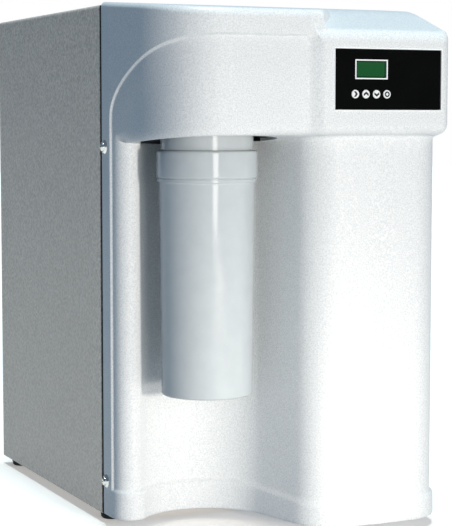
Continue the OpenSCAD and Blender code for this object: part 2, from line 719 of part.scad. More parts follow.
module at_vessel() translate([col_u, vessel_v, 0]) children();

module ro_vessel() color(white) in_front() at_vessel() difference() {
  union() {
    translate([0, 0, vessel_z]) cylinder(r = vessel_r, h = vessel_l);
    for (x = [0, drain_off]) translate([x, 0, vessel_z - stub_l]) cylinder(r = 8, h = stub_l + cut);
  }
  translate([0, 0, vessel_z + 2 * vessel_wall]) cylinder(r = vessel_r - vessel_wall, h = vessel_l);
  translate([0, 0, vessel_z + vessel_wall]) cylinder(r = membrane_core_r + 0.2, h = vessel_wall + cut);
}

module ro_cap() color(white) in_front() at_vessel() difference() {
  union() {
    translate([0, 0, vessel_top - cap_lap]) cylinder(r = vessel_r + 6, h = cap_h);
    translate([0, 0, vessel_top - cap_lap + cap_h - cut]) cylinder(r = 9, h = 10 + cut);
  }
  translate([0, 0, vessel_top - cap_lap - cut]) cylinder(r = vessel_r + 0.2, h = cap_lap + cut);
  translate([0, 0, vessel_top - cut]) cylinder(r = vessel_r - vessel_wall, h = cap_h - cap_lap - 8);
}

module ro_membrane() color(blue) in_front() at_vessel() {
  translate([0, 0, vessel_z + vessel_wall + 0.2]) cylinder(r = membrane_core_r, h = vessel_l);
  translate([0, 0, vessel_z + 2 * vessel_wall + 2])
    cylinder(r = vessel_r - vessel_wall - 2, h = vessel_l - 30);
  translate([0, 0, vessel_top - 36]) cylinder(r = vessel_r - vessel_wall - 0.2, h = 6);
}

module ro_clips() color(black) in_front() for (t = [0.18, 0.78])
  translate([0, 0, vessel_z + t * vessel_l - 9]) linear_extrude(18) difference() {
    union() {
      translate([col_u, vessel_v]) circle(vessel_r + 4);
      translate([col_u - 20, plate_t]) square([40, vessel_v - vessel_r]);
    }
    translate([col_u, vessel_v]) circle(vessel_r + 0.1);
    translate([col_u - 2 * vessel_r, vessel_v + 14]) square([4 * vessel_r, 2 * vessel_r]);
  }

// Pump, in the cabinet behind the chassis plate

pump_u = 28;
pump_mid_w = 92;
grommet_h = 8;
cradle_t = 2;
pump_z = tray_z + grommet_h + cradle_t + pump_w / 2 + 1;
motor_end = pump_u + motor_l;
pump_end = motor_end + pump_l;
rotor_gap = 2;
end_wall = 9;
pump_port_off = 18;

module at_pump() translate([0, pump_mid_w, pump_z]) children();

module pump_base() color(steel) in_cab() difference() {
  union() {
    box([pump_u + 12, pump_mid_w - motor_r - 6, tray_z + grommet_h],
      [motor_end - 8, pump_mid_w + motor_r + 6, tray_z + grommet_h + cradle_t]);
    for (u = [pump_u + 16, motor_end - 24]) box([u, pump_mid_w - motor_r + 4, tray_z + grommet_h],
      [u + 12, pump_mid_w + motor_r - 4, pump_z - motor_r / 2]);
  }
  at_pump() post_u(motor_r, 0, cab_w);
}

module pump_grommets() color(black) in_cab()
  for (u = [pump_u + 18, motor_end - 14], w = [-motor_r, motor_r])
    translate([u, pump_mid_w + w, tray_z]) cylinder(r = 6, h = grommet_h);

module pump_motor() color(grey_paint) in_cab() at_pump() difference() {
  post_u(motor_r, pump_u, motor_end);
  post_u(motor_r - 6, pump_u + end_wall, motor_end - end_wall);
  post_u(shaft_r + shaft_gap, pump_u + 4, motor_end + cut);
}

module pump_rotor() color(steel) in_cab() at_pump() {
  post_u(shaft_r, pump_u + 5, motor_end + pump_l / 2 + 4);
  post_u(motor_r - 6 - rotor_gap, pump_u + end_wall + 5, motor_end - end_wall - 5);
  translate([0, 0, throw]) post_u(shaft_r + throw + 3, motor_end + 6, motor_end + pump_l / 2 + 2);
}

module pump_head() color(black) in_cab() at_pump() difference() {
  union() {
    along_u(motor_end, pump_end - 8) intersection() {
      square(pump_w, center = true);
      circle(pump_w * 0.6);
    }
    post_u(pump_w * 0.42, pump_end - 8 - cut, pump_end);
    for (w = [-1, 1]) translate([0, w * pump_port_off, 0]) post_u(8, pump_end - cut, pump_end + 6);
  }
  post_u(shaft_r + 2 * throw + 5, motor_end - cut, motor_end + pump_l / 2 + 6);
}

switch_u = motor_end + 15;
module pressure_switch() color(black) in_cab() at_pump() translate([switch_u, 0, pump_w / 2]) {
  cylinder(r = 6, h = 8);
  translate([0, 0, 8]) cylinder(r = 11, h = 20);
  translate([-3, -0.5, 28]) cube([6, 1, 8]);
}

// Inlet valve on the back of the chassis plate

valve_w = 30;
valve_half = 19;
valve_low = port_z - 15;
valve_top = port_z + 15;
coil_h = 40;
plunger_r = 5;
guide_r = 7;
plunger_lift = 2;

module inlet_valve() color(white) in_cab() difference() {
  union() {
    box([port_u - valve_half, 0, valve_low], [port_u + valve_half, valve_w, valve_top]);
    translate([port_u, valve_w / 2, valve_top - cut]) cylinder(r = guide_r, h = coil_h + 4 + cut);
    translate([port_u, 0, port_z]) post_v(7, valve_w - cut, valve_w + 8);
    translate([0, valve_w / 2, port_z]) post_u(7, port_u - valve_half - 8, port_u - valve_half + cut);
  }
  translate([port_u, valve_w / 2, valve_top - 4]) cylinder(r = plunger_r + 0.1, h = coil_h + 4);
}

module valve_coil() color(black) in_cab() difference() {
  box([port_u - 18, 1, valve_top], [port_u + 18, valve_w - 1, valve_top + coil_h]);
  translate([port_u, valve_w / 2, valve_top - cut]) cylinder(r = guide_r + 0.1, h = coil_h + 2 * cut);
}

module valve_plunger() color(steel) in_cab() translate([port_u, valve_w / 2, valve_top - 4])
  cylinder(r = plunger_r, h = coil_h + 4 - plunger_lift - 1);

// Measuring cell and restrictor, on blocks on the tray

cell_z = 30;
cell_w = [40, 85];
cell_r = 9;
probe_r = 5;
probe_l = 24;
drain_u = col_u + drain_off;
drain_z = 24;
restrictor_w = [30, 62];
restrictor_r = 8;

module inline_body(u, z, w, r) {
  translate([u, 0, z]) post_v(r, w[0], w[1]);
  box([u - r + 2, w[0] + 8, tray_z], [u + r - 2, w[1] - 8, z]);
}
module conductivity_cell() color(white) in_cab() {
  inline_body(col_u, cell_z, cell_w, cell_r);
  translate([col_u, (cell_w[0] + cell_w[1]) / 2, cell_z]) cylinder(r = probe_r, h = probe_l);
}
module flow_restrictor() color(blue) in_cab() inline_body(drain_u, drain_z, restrictor_w, restrictor_r);

// Rear ports

port_body_r = 10;
port_in = cab_d - sheet_t - 18;
port_tube_r = port_tube_d / 2 + 0.05;
collet_r = port_tube_r + 1.8;
collet_rim = 2.6;
collet_gap = collet_travel + 0.3;
port_nose = port_reach - collet_rim - collet_gap;

module at_port(i) in_cab() translate([port_u + i * port_pitch, 0, port_z]) children();

module port_body(i) color(white) at_port(i) difference() {
  union() {
    post_v(port_body_r, port_in, cab_d + port_nose);
    along_v(cab_d, cab_d + 5) circle(port_body_r + 4, $fn = 6);
  }
  post_v(collet_r + 0.2, cab_d - 2, cab_d + port_nose + cut);
  post_v(port_tube_r - 1, port_in + 4, cab_d);
}
module port_feed() port_body(0);
module port_permeate() port_body(1);
module port_drain() port_body(2);

module port_nuts() color(white) for (i = [0:2]) at_port(i)
  along_v(cab_d - sheet_t - 6, cab_d - sheet_t) difference() {
    circle(port_body_r + 4, $fn = 6);
    circle(port_body_r + 0.1);
  }

module collet(i) color(blue) at_port(i) difference() {
  union() {
    post_v(collet_r, cab_d + collet_travel, cab_d + port_reach);
    post_v(collet_r + 2, cab_d + port_reach - collet_rim, cab_d + port_reach);
  }
  post_v(port_tube_r, cab_d - cut, cab_d + port_reach + cut);
}
module collet_feed() collet(0);
module collet_permeate() collet(1);
module collet_drain() collet(2);

// Power

socket = [24.4, 16.6, 17];
inlet_rim = 3;
socket_z = inlet_z - 14;
rocker_z = inlet_z + 18;
rocker_w = 20;
rocker_h = 13;
rocker_rest = 8;
rocker_room = 1.6;
rocker_pivot = cab_d - 3;

module power_inlet() color(black) in_cab() difference() {
  union() {
    box([inlet_u - inlet_w / 2 - 4, cab_d, inlet_z - inlet_h / 2 - 4],
      [inlet_u + inlet_w / 2 + 4, cab_d + inlet_rim, inlet_z + inlet_h / 2 + 4]);
    box([inlet_u - inlet_w / 2 + slip, cab_d - 24, inlet_z - inlet_h / 2 + slip],
      [inlet_u + inlet_w / 2 - slip, cab_d + cut, inlet_z + inlet_h / 2 - slip]);
  }
  difference() {
    box([inlet_u - socket[0] / 2, cab_d + inlet_rim - socket[2], socket_z - socket[1] / 2],
      [inlet_u + socket[0] / 2, cab_d + inlet_rim + cut, socket_z + socket[1] / 2]);
    for (p = [[-7, -2], [0, 2], [7, -2]])
      box([inlet_u + p[0] - 1, cab_d - 16, socket_z + p[1] - 2],
        [inlet_u + p[0] + 1, cab_d - 1, socket_z + p[1] + 2]);
  }
  box([inlet_u - rocker_w / 2 - slip, cab_d - 16, rocker_z - rocker_h / 2 - rocker_room],
    [inlet_u + rocker_w / 2 + slip, cab_d + inlet_rim + cut, rocker_z + rocker_h / 2 + rocker_room]);
  translate([inlet_u, rocker_pivot, rocker_z]) post_u(1.55, -rocker_w / 2 - 3, rocker_w / 2 + 3);
}

module power_rocker() color(black) in_cab() translate([inlet_u, rocker_pivot, rocker_z]) {
  rotate([rocker_rest, 0, 0]) along_u(-rocker_w / 2, rocker_w / 2)
    polygon([[-5, -3], [2, -rocker_h / 2], [7.5, -rocker_h / 2], [6.2, 0], [7.5, rocker_h / 2],
      [2, rocker_h / 2], [-5, 3]]);
  post_u(1.5, -rocker_w / 2 - 2.5, rocker_w / 2 + 2.5);
}

supply = [100, 122, 54];
supply_room = [24, 12];
supply_at = [cab_w - supply_room[0] - supply[0], cab_d - supply_room[1] - supply[1], tray_z];
dimple_r = 2.5;
dimple_t = 1.5;
module power_supply() color(steel) in_cab() translate(supply_at) difference() {
  cube(supply);
  for (i = [0:7], j = [0:4]) translate([18 + 9 * i, 30 + 14 * j, supply[2] - dimple_t])
    cylinder(r = dimple_r, h = 2 * dimple_t, $fn = 24);
}

// Tubes: corners of each route in u, w and z, swept with rounded bends

bend = 12;
membrane_u = pump_end + 46;
over_z = cab_h - 80;
hose_room = 12;
loop_w = pump_mid_w + pump_w / 2 + hose_room;
drain_w = loop_w + hose_room + 2;
hose_pass = [[bowl_u - port_off, port_mid], [bowl_u + port_off, port_mid], [membrane_u, over_z],
  [col_u, cell_z], [drain_u, drain_z]];

function unit(v) = v / norm(v);
function turn(a, b, c, n = 5) = let (p = b + bend * unit(a - b), q = b + bend * unit(c - b))
  [for (i = [0:n]) let (t = i / n) (1 - t) ^ 2 * p + 2 * t * (1 - t) * (b * 0.8 + (p + q) * 0.1) + t ^ 2 * q];
function route(p) = concat([p[0]],
  [for (i = [1:len(p) - 2]) each turn(p[i - 1], p[i], p[i + 1])], [p[len(p) - 1]]);
function tangents(p) = [for (i = [0:len(p) - 1]) unit(p[min(i + 1, len(p) - 1)] - p[max(i - 1, 0)])];
function any_normal(t) = unit(cross(t, abs(t[2]) < 0.9 ? [0, 0, 1] : [1, 0, 0]));
function normals(t) = [for (i = 0, n = any_normal(t[0]); i < len(t);
  i = i + 1, n = i < len(t) ? unit(n - (n * t[i]) * t[i]) : n) n];

module hose(corners, sides = 8) {
  p = len(corners) > 2 ? route(corners) : corners;
  t = tangents(p);
  n = normals(t);
  rings = [for (i = [0:len(p) - 1], k = [0:sides - 1])
    p[i] + hose_r * (cos(360 * k / sides) * n[i] + sin(360 * k / sides) * cross(t[i], n[i]))];
  last = (len(p) - 1) * sides;
  polyhedron(rings, concat(
    [[for (k = [sides - 1:-1:0]) k]],
    [for (i = [0:len(p) - 2], k = [0:sides - 1]) let (a = i * sides + k, b = i * sides + (k + 1) % sides)
      each [[a, b, b + sides], [a, b + sides, a + sides]]],
    [[for (k = [0:sides - 1]) last + k]]));
}

module feed_tube() color(white) in_cab() translate([port_u, 0, port_z]) post_v(hose_r, valve_w + 8, port_in);

module filter_tube() color(white) in_cab() hose([[port_u - valve_half - 8, valve_w / 2, port_z],
  [bowl_u - port_off, valve_w / 2, port_z], [bowl_u - port_off, valve_w / 2, port_mid],
  [bowl_u - port_off, -port_face_v, port_mid]]);

suction_w = pump_mid_w - pump_port_off;
suction_u = pump_end + 24;
suction_z = port_z + 60;
module pump_tube() color(white) in_cab() hose([[bowl_u + port_off, -port_face_v, port_mid],
  [bowl_u + port_off, suction_w, port_mid], [bowl_u + port_off, suction_w, suction_z],
  [suction_u, suction_w, suction_z], [suction_u, suction_w, pump_z], [pump_end + 6, suction_w, pump_z]]);

module membrane_tube() color(white) in_cab() hose([[pump_end + 6, pump_mid_w + pump_port_off, pump_z],
  [membrane_u, pump_mid_w + pump_port_off, pump_z], [membrane_u, pump_mid_w + pump_port_off, over_z],
  [membrane_u, -vessel_v, over_z], [col_u, -vessel_v, over_z],
  [col_u, -vessel_v, vessel_top - cap_lap + cap_h + 10]]);

module permeate_tubes() color(blue) in_cab() {
  hose([[col_u, -vessel_v, vessel_z - stub_l], [col_u, -vessel_v, cell_z], [col_u, cell_w[0], cell_z]]);
  hose([[col_u, cell_w[1], cell_z], [col_u, loop_w, cell_z], [port_u + port_pitch, loop_w, cell_z],
    [port_u + port_pitch, loop_w, port_z], [port_u + port_pitch, port_in, port_z]]);
}

module drain_tubes() color(black) in_cab() {
  hose([[drain_u, -vessel_v, vessel_z - stub_l], [drain_u, -vessel_v, drain_z],
    [drain_u, restrictor_w[0], drain_z]]);
  hose([[drain_u, restrictor_w[1], drain_z], [drain_u, drain_w, drain_z],
    [port_u + 2 * port_pitch, drain_w, drain_z], [port_u + 2 * port_pitch, drain_w, port_z],
    [port_u + 2 * port_pitch, port_in, port_z]]);
}

base_tray();
outer_wrap();
back_panel();
back_screws();
chassis_plate();
cover_gasket();
front_cover();
cover_screws();
cover_washers();
feet();
foot_screws();
display_panel();
lcd_bezel();
lcd_module();
key_right();
key_up();
key_down();
key_enter();
control_board();
key_switches();
board_screws();
filter_bracket();
bracket_screws();
filter_head();
head_seal();
filter_bowl();
filter_element();
ro_vessel();
ro_cap();
ro_membrane();
ro_clips();
pump_base();
pump_grommets();
pump_motor();
pump_rotor();
pump_head();
pressure_switch();
inlet_valve();
valve_coil();
valve_plunger();
conductivity_cell();
flow_restrictor();
port_feed();
port_permeate();
port_drain();
port_nuts();
collet_feed();
collet_permeate();
collet_drain();
power_supply();
power_inlet();
power_rocker();
feed_tube();
filter_tube();
pump_tube();
membrane_tube();
permeate_tubes();
drain_tubes();
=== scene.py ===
import bpy
import bmesh
import json
import math
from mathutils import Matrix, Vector


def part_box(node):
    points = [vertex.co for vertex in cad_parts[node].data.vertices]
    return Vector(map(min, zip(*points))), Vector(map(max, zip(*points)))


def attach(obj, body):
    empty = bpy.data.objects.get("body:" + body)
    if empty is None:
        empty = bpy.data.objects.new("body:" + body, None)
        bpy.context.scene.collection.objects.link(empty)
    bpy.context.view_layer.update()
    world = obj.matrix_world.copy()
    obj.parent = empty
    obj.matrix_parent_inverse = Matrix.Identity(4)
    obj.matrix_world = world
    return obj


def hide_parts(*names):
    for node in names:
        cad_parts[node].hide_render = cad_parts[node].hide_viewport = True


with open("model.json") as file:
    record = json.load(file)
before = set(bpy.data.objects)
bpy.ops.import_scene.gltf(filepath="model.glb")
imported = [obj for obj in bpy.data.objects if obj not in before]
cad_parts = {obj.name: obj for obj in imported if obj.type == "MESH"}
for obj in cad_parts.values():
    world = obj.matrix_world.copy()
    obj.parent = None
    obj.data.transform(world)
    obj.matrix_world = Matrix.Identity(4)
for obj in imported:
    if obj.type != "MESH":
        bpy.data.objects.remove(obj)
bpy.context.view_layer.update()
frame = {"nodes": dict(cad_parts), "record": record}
nodes = frame["nodes"]
scene = bpy.context.scene
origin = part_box("outer_wrap")[0]  # lower left front corner of the cabinet, zero for every place below
print("frame:", len(nodes), "nodes")


def at(u, v, z):  # millimetres to the right of, in front of and above that corner
    return origin + Vector((u, -v, z)) / 1000


def mix(a, b, t):
    return a + (b - a) * t


def clamp(x):
    return min(1.0, max(0.0, x))


def smooth(low, high, x):
    t = clamp((x - low) / (high - low))
    return t * t * (3 - 2 * t)


def onCircle(radius, degrees):
    turn = math.radians(degrees)
    return radius * math.cos(turn), radius * math.sin(turn)


# camera at the photograph's angle: focal length and long side in its pixels, sensor in millimetres
photoView = dict(eye=(-605.6, 1638.2, 401.3), turn=24.49, tilt=4.68,
                 focal=1713.4, longSide=526, sensor=36)
camData = bpy.data.cameras.new("photoCamera")
camera = bpy.data.objects.new("photoCamera", camData)
scene.collection.objects.link(camera)
camData.sensor_width = photoView["sensor"]
camData.lens = photoView["focal"] * photoView["sensor"] / photoView["longSide"]
camera.location = at(*photoView["eye"])
camera.rotation_euler = (math.radians(90 - photoView["tilt"]), 0, math.radians(-photoView["turn"]))
scene.camera = camera
print("camera done")


def hexLinear(code):
    parts = [int(code[i:i + 2], 16) / 255 for i in (1, 3, 5)]
    return tuple(c / 12.92 if c <= 0.04045 else ((c + 0.055) / 1.055) ** 2.4 for c in parts) + (1.0,)


def addNode(tree, kind, values=None, links=None, stops=(), **settings):
    node = tree.nodes.new(kind)
    for key, value in settings.items():
        setattr(node, key, value)
    for key, value in (values or {}).items():
        node.inputs[key].default_value = value
    for key, source in (links or {}).items():
        tree.links.new(source, node.inputs[key])
    for k, (place, tone) in enumerate(stops):  # of a colour ramp
        node.color_ramp.elements[k].position = place
        node.color_ramp.elements[k].color = hexLinear(tone)
    return node


def startFinish(name, rough, metallic=0.0, specular=0.5):
    finish = bpy.data.materials.new(name)
    finish.use_nodes = True
    tree = finish.node_tree
    tree.nodes.clear()
    shader = addNode(tree, "ShaderNodeBsdfPrincipled", {
        "Roughness": rough, "Metallic": metallic, "Specular IOR Level": specular})
    addNode(tree, "ShaderNodeOutputMaterial", links={"Surface": shader.outputs["BSDF"]})
    place = addNode(tree, "ShaderNodeTexCoord").outputs["Object"]
    return finish, tree, shader, place


# each record slot's finish: blotches of size mottle wander between two tones and two degrees of
# roughness, and a grain of that size and depth gives the relief, in millimetres
finishes = {
    # oven-cured powder: a satin skin with orange peel, drawn some four times coarser than real so that
    # it shows
    "painted_sheet": dict(
        name="powder coat grey fine texture", tones=("#c7bcb1", "#efe4d8"),
        rough=(0.46, 0.64), metallic=0.25, grain=2.2, depth=0.07, mottle=2.6),
    # electroplated zinc: cool grey metal with faint clouds and blurred reflections
    "zinc_steel": dict(
        name="zinc plated steel", tones=("#a9adb0", "#c3c6c8"),
        rough=(0.3, 0.5), metallic=1.0, grain=6, depth=0.02, mottle=14),
    # moulded in a spark-eroded tool: even sparkle that scatters highlights, drawn three times coarser
    # so that it shows
    "cover_plastic": dict(
        name="abs white spark eroded grain", tones=("#d9dddf", "#f3f5f5"),
        rough=(0.38, 0.52), grain=1.3, depth=0.05, mottle=1.3),
    # sliced foam: its cut cells swallow the light
    "foam": dict(
        name="closed cell foam black", tones=("#040404", "#0b0b0c"),
        rough=(0.85, 0.95), grain=0.8, depth=0.15, mottle=2, specular=0.2),
    # bright plating: warm silver with crisp reflections
    "nickel": dict(
        name="nickel plate bright", tones=("#c9c8c4", "#dcdbd8"),
        rough=(0.12, 0.22), metallic=1.0, grain=2, depth=0.01, mottle=5),
    # pressed rubber: dull black with a dusty bloom
    "foot_rubber": dict(
        name="rubber black moulded", tones=("#141414", "#1f1f1f"),
        rough=(0.7, 0.85), grain=0.7, depth=0.05, mottle=6),
    # film printed on its back: deep even black with hardly any sheen
    "panel_black": dict(
        name="polyester film black matt", tones=("#010101", "#030303"),
        rough=(0.5, 0.56), grain=0.5, depth=0.004, mottle=20, specular=0.05),
    # moulded in a polished tool: clean white with a soft sheen
    "bezel_white": dict(
        name="polycarbonate white satin", tones=("#f6f8f8", "#fcfdfd"),
        rough=(0.35, 0.45), grain=0.6, depth=0.01, mottle=8),
    # cut glass: bottle green, nearly black, with sharp glints
    "lcd_green": dict(
        name="lcd glass edge dark", tones=("#051008", "#08180c"),
        rough=(0.1, 0.2), grain=1, depth=0.005, mottle=9),
    # pressed silicone: soft white with waxy highlights
    "key_white": dict(
        name="silicone rubber white", tones=("#eceeee", "#f6f7f7"),
        rough=(0.45, 0.6), grain=0.4, depth=0.01, mottle=4),
    # lacquer over copper tracks: glossy green in lighter and darker patches
    "board_green": dict(
        name="solder mask green", tones=("#1b5a2c", "#257038"),
        rough=(0.3, 0.45), grain=1.2, depth=0.02, mottle=5),
    # moulded nylon: black under a thin haze
    "switch_black": dict(
        name="nylon black moulded", tones=("#161617", "#222224"),
        rough=(0.5, 0.65), grain=0.6, depth=0.02, mottle=6),
    # moulded in a polished tool: cloudy pale grey with long clean highlights
    "bowl_plastic": dict(
        name="polypropylene pale grey half gloss", tones=("#c2c9cc", "#c6cdd0"),
        rough=(0.11, 0.15), grain=0.9, depth=0.006, mottle=16),
    # pressed rubber: smooth black, faintly oily
    "seal_rubber": dict(
        name="nitrile rubber black", tones=("#0f0f10", "#1a1a1b"),
        rough=(0.55, 0.7), grain=0.6, depth=0.02, mottle=5),
    # blown fibres: matt white fuzz with small pits
    "element_fibre": dict(
        name="melt blown polypropylene white", tones=("#dcdbd3", "#efeee8"),
        rough=(0.9, 1.0), grain=1.2, depth=0.3, mottle=3),
    # moulded and glossy: milk white with slow clouds
    "vessel_plastic": dict(
        name="polypropylene white glossy", tones=("#dfe3e4", "#eaedee"),
        rough=(0.25, 0.35), grain=1.5, depth=0.01, mottle=25),
    # wound tape: blue gloss with creases that run round
    "membrane_wrap": dict(
        name="vinyl tape wrap blue", tones=("#1f4f8c", "#2b62a6"),
        rough=(0.3, 0.42), grain=9, depth=0.1, mottle=12, stretch=(0.25, 0.25, 1)),
    # moulded: satin black
    "clip_plastic": dict(
        name="polyamide black", tones=("#18181a", "#242427"),
        rough=(0.45, 0.6), grain=0.6, depth=0.02, mottle=6),
    # dipped lacquer: black gloss with slow waves
    "motor_paint": dict(
        name="lacquer black on steel", tones=("#1d1d1f", "#29292b"),
        rough=(0.3, 0.42), grain=1.6, depth=0.01, mottle=10),
    # ground: bright grey with blurred, restless reflections
    "rotor_steel": dict(
        name="ground steel", tones=("#9c9d9f", "#b4b5b7"),
        rough=(0.22, 0.34), metallic=1.0, grain=1.0, depth=0.01, mottle=4),
    # moulded with glass fibre: dry black with paler flecks
    "pump_plastic": dict(
        name="glass filled nylon black", tones=("#1a1a1c", "#2a2a2d"),
        rough=(0.5, 0.65), grain=0.8, depth=0.04, mottle=4),
    # moulded: bone white, faintly waxy
    "valve_plastic": dict(
        name="acetal off white", tones=("#d9d8d0", "#e6e5de"),
        rough=(0.35, 0.5), grain=1.0, depth=0.015, mottle=7),
    # rolled sheet: pale grey with streaks along the rolling
    "supply_case": dict(
        name="aluminium sheet mill finish", tones=("#a8aaac", "#bfc1c3"),
        rough=(0.32, 0.46), metallic=1.0, grain=2.5, depth=0.01, mottle=9, stretch=(0.12, 1, 1)),
    # moulded: clean white, faintly waxy
    "fitting_white": dict(
        name="acetal white moulded", tones=("#e0e2e0", "#eceeec"),
        rough=(0.35, 0.48), grain=0.8, depth=0.012, mottle=7),
    # moulded: even blue, faintly waxy
    "collar_blue": dict(
        name="acetal blue moulded", tones=("#234f8d", "#2d5fa3"),
        rough=(0.35, 0.48), grain=0.8, depth=0.012, mottle=5),
    # drawn tube: milky white with soft gloss
    "tube_white": dict(
        name="polyethylene tube milky", tones=("#dadedd", "#e8ebea"),
        rough=(0.3, 0.4), grain=1.4, depth=0.01, mottle=18),
    # drawn tube: blue with soft gloss
    "tube_blue": dict(
        name="polyethylene tube blue", tones=("#2558a0", "#3067b4"),
        rough=(0.3, 0.4), grain=1.4, depth=0.01, mottle=18),
    # drawn tube: black with soft gloss
    "tube_black": dict(
        name="polyethylene tube black", tones=("#151516", "#1e1e20"),
        rough=(0.3, 0.4), grain=1.4, depth=0.01, mottle=18),
    # moulded in a spark-eroded tool: dull black with fine sparkle
    "inlet_black": dict(
        name="polyamide black spark grain", tones=("#121213", "#1c1c1e"),
        rough=(0.45, 0.6), grain=0.6, depth=0.03, mottle=5),
}
# noise values at which blotches reach their two tones and roughnesses, and the strength of the relief
toneEnds, glossEnds, reliefStrength = (0.35, 0.65), (0.3, 0.7), 0.6
madeFinish = {}
for slot, look in finishes.items():
    rough = look["rough"]
    finish, tree, shader, place = startFinish(
        look["name"], rough[0], look.get("metallic", 0.0), look.get("specular", 0.5))
    if "stretch" in look:
        stretch = addNode(tree, "ShaderNodeMapping", {"Scale": look["stretch"]}, {"Vector": place})
        place = stretch.outputs[0]
    blotch, grain = (
        addNode(tree, "ShaderNodeTexNoise", {"Scale": 1000 / look[size], "Detail": detail},
                {"Vector": place}).outputs[0]
        for size, detail in (("mottle", 3), ("grain", 2)))
    tone = addNode(tree, "ShaderNodeValToRGB", links={"Fac": blotch}, stops=zip(toneEnds, look["tones"]))
    gloss = addNode(tree, "ShaderNodeMapRange", {
        "From Min": glossEnds[0], "From Max": glossEnds[1],
        "To Min": rough[0], "To Max": rough[1]}, {"Value": blotch})
    relief = addNode(tree, "ShaderNodeBump", {
        "Strength": reliefStrength, "Distance": look["depth"] / 1000}, {"Height": grain})
    for key, node in (("Base Color", tone), ("Roughness", gloss), ("Normal", relief)):
        tree.links.new(node.outputs[0], shader.inputs[key])
    madeFinish[slot] = finish
slotOf = {part["node"]: part["material_slot"] for part in frame["record"]["subparts"]}
for name, node in nodes.items():
    node.data.materials.clear()
    node.data.materials.append(madeFinish[slotOf[name]])
print("finishes:", len(madeFinish))

creaseAngle = 38  # degrees: sharper edges stay crisp


def makePiece(name, bm, slot, body, *stoodFor):
    mesh = bpy.data.meshes.new(name)
    bm.to_mesh(mesh)
    bm.free()
    mesh.shade_smooth()
    mesh.set_sharp_from_angle(angle=math.radians(creaseAngle))
    piece = bpy.data.objects.new(name, mesh)
    scene.collection.objects.link(piece)
    mesh.materials.append(madeFinish[slot])
    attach(piece, body)
    if stoodFor:
        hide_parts(*stoodFor)
    return piece


def boxMesh(low, high):  # from a lower left rear to an upper right front corner, in millimetres
    bm = bmesh.new()
    bmesh.ops.create_cube(bm, size=1)
    for vert in bm.verts:
        shares = vert.co.x + 0.5, 0.5 - vert.co.y, vert.co.z + 0.5
        vert.co = at(*(mix(a, b, t) for a, b, t in zip(low, high, shares)))
    return bm


def lathe(bm, foot, axis, profile, steps):  # turns (radius, height) pairs in millimetres about an axis
    axis = Vector(axis)
    side = axis.orthogonal().normalized()
    spots = [bm.verts.new(foot + (axis * h + side * r) / 1000) for r, h in profile]
    lines = [bm.edges.new(pair) for pair in zip(spots, spots[1:])]
    bmesh.ops.spin(bm, geom=spots + lines, cent=foot, axis=axis, angle=2 * math.pi, steps=steps,
                   use_merge=True)
    bmesh.ops.remove_doubles(bm, verts=bm.verts, dist=1e-6)
    bmesh.ops.recalc_face_normals(bm, faces=bm.faces)


def frontToBack(bm):
    return sorted(bm.faces, key=lambda face: face.calc_center_median().y)


def newVerts(made):  # what an extrusion added
    return [part for part in made["geom"] if isinstance(part, bmesh.types.BMVert)]


# moulded cover: one grid whose columns climb the outline, pass under the head, over the brow and back
# to the cabinet
mould = dict(
    width=330, height=520, reach=172, foam=6, wall=3.2,  # whole, gasket behind, wall of the moulding
    band=24, draft=7, edgeRound=5,  # straight band behind, slanted sides, round of the top's edges
    ridgeReach=45, ridgeRound=14, bayAxis=(80, 87.5),  # ridge and bay
    flank=15, columnBack=14, columnRound=43, crown=420,  # column with its slanted left side
    plinth=30, plinthSoft=2.6, footIn=(1.6, 0.5, 0.0),  # height, half width of its edge, rounded foot
    plinthFall=0.07, fallStart=(2, 24), fallEnd=(37, 75),  # its edge falls to the front
    lip=390, lipRound=11, lipShares=(0.8, 1.4), underRise=4.1,  # the head's underside
    hollow=(4.0, 0.4), scoop=10, wallTop=0.5, mouthGap=4.5,
    proud=9, corner=(86, 86, 1.08), brow=9, topFall=4.574, lift=2.9,  # plain head, behind the housing
    step=3.6, soft=(1.3, 1.5), softRange=(105, 160),  # raised border: height and half width of its edge
    ease=(0.42, 45), easeRange=(90, 150), steepest=8.0, gather=(12.0, 1.15),
    sweep=((27.3, 407), (27.3, 438.3), (94.4, 470.9), (159.3, 485)),
    housingRound=12, housingBrow=14, slopeFall=16.4, slopeStart=81, slopeBend=16,  # display housing
    opening=(177.4, 297.0, 413.4, 473.1),  # left, right, foot and top of the control panel's place
    blend=(151, 171), browStart=(150, 165),  # from the plain head to the housing
    shoulderRun=4.2, shoulderFront=(0.5, -0.4),
    shoulder=((155, 172.5), (141, 185), (130, 194), (108, 207), (65, 225)))


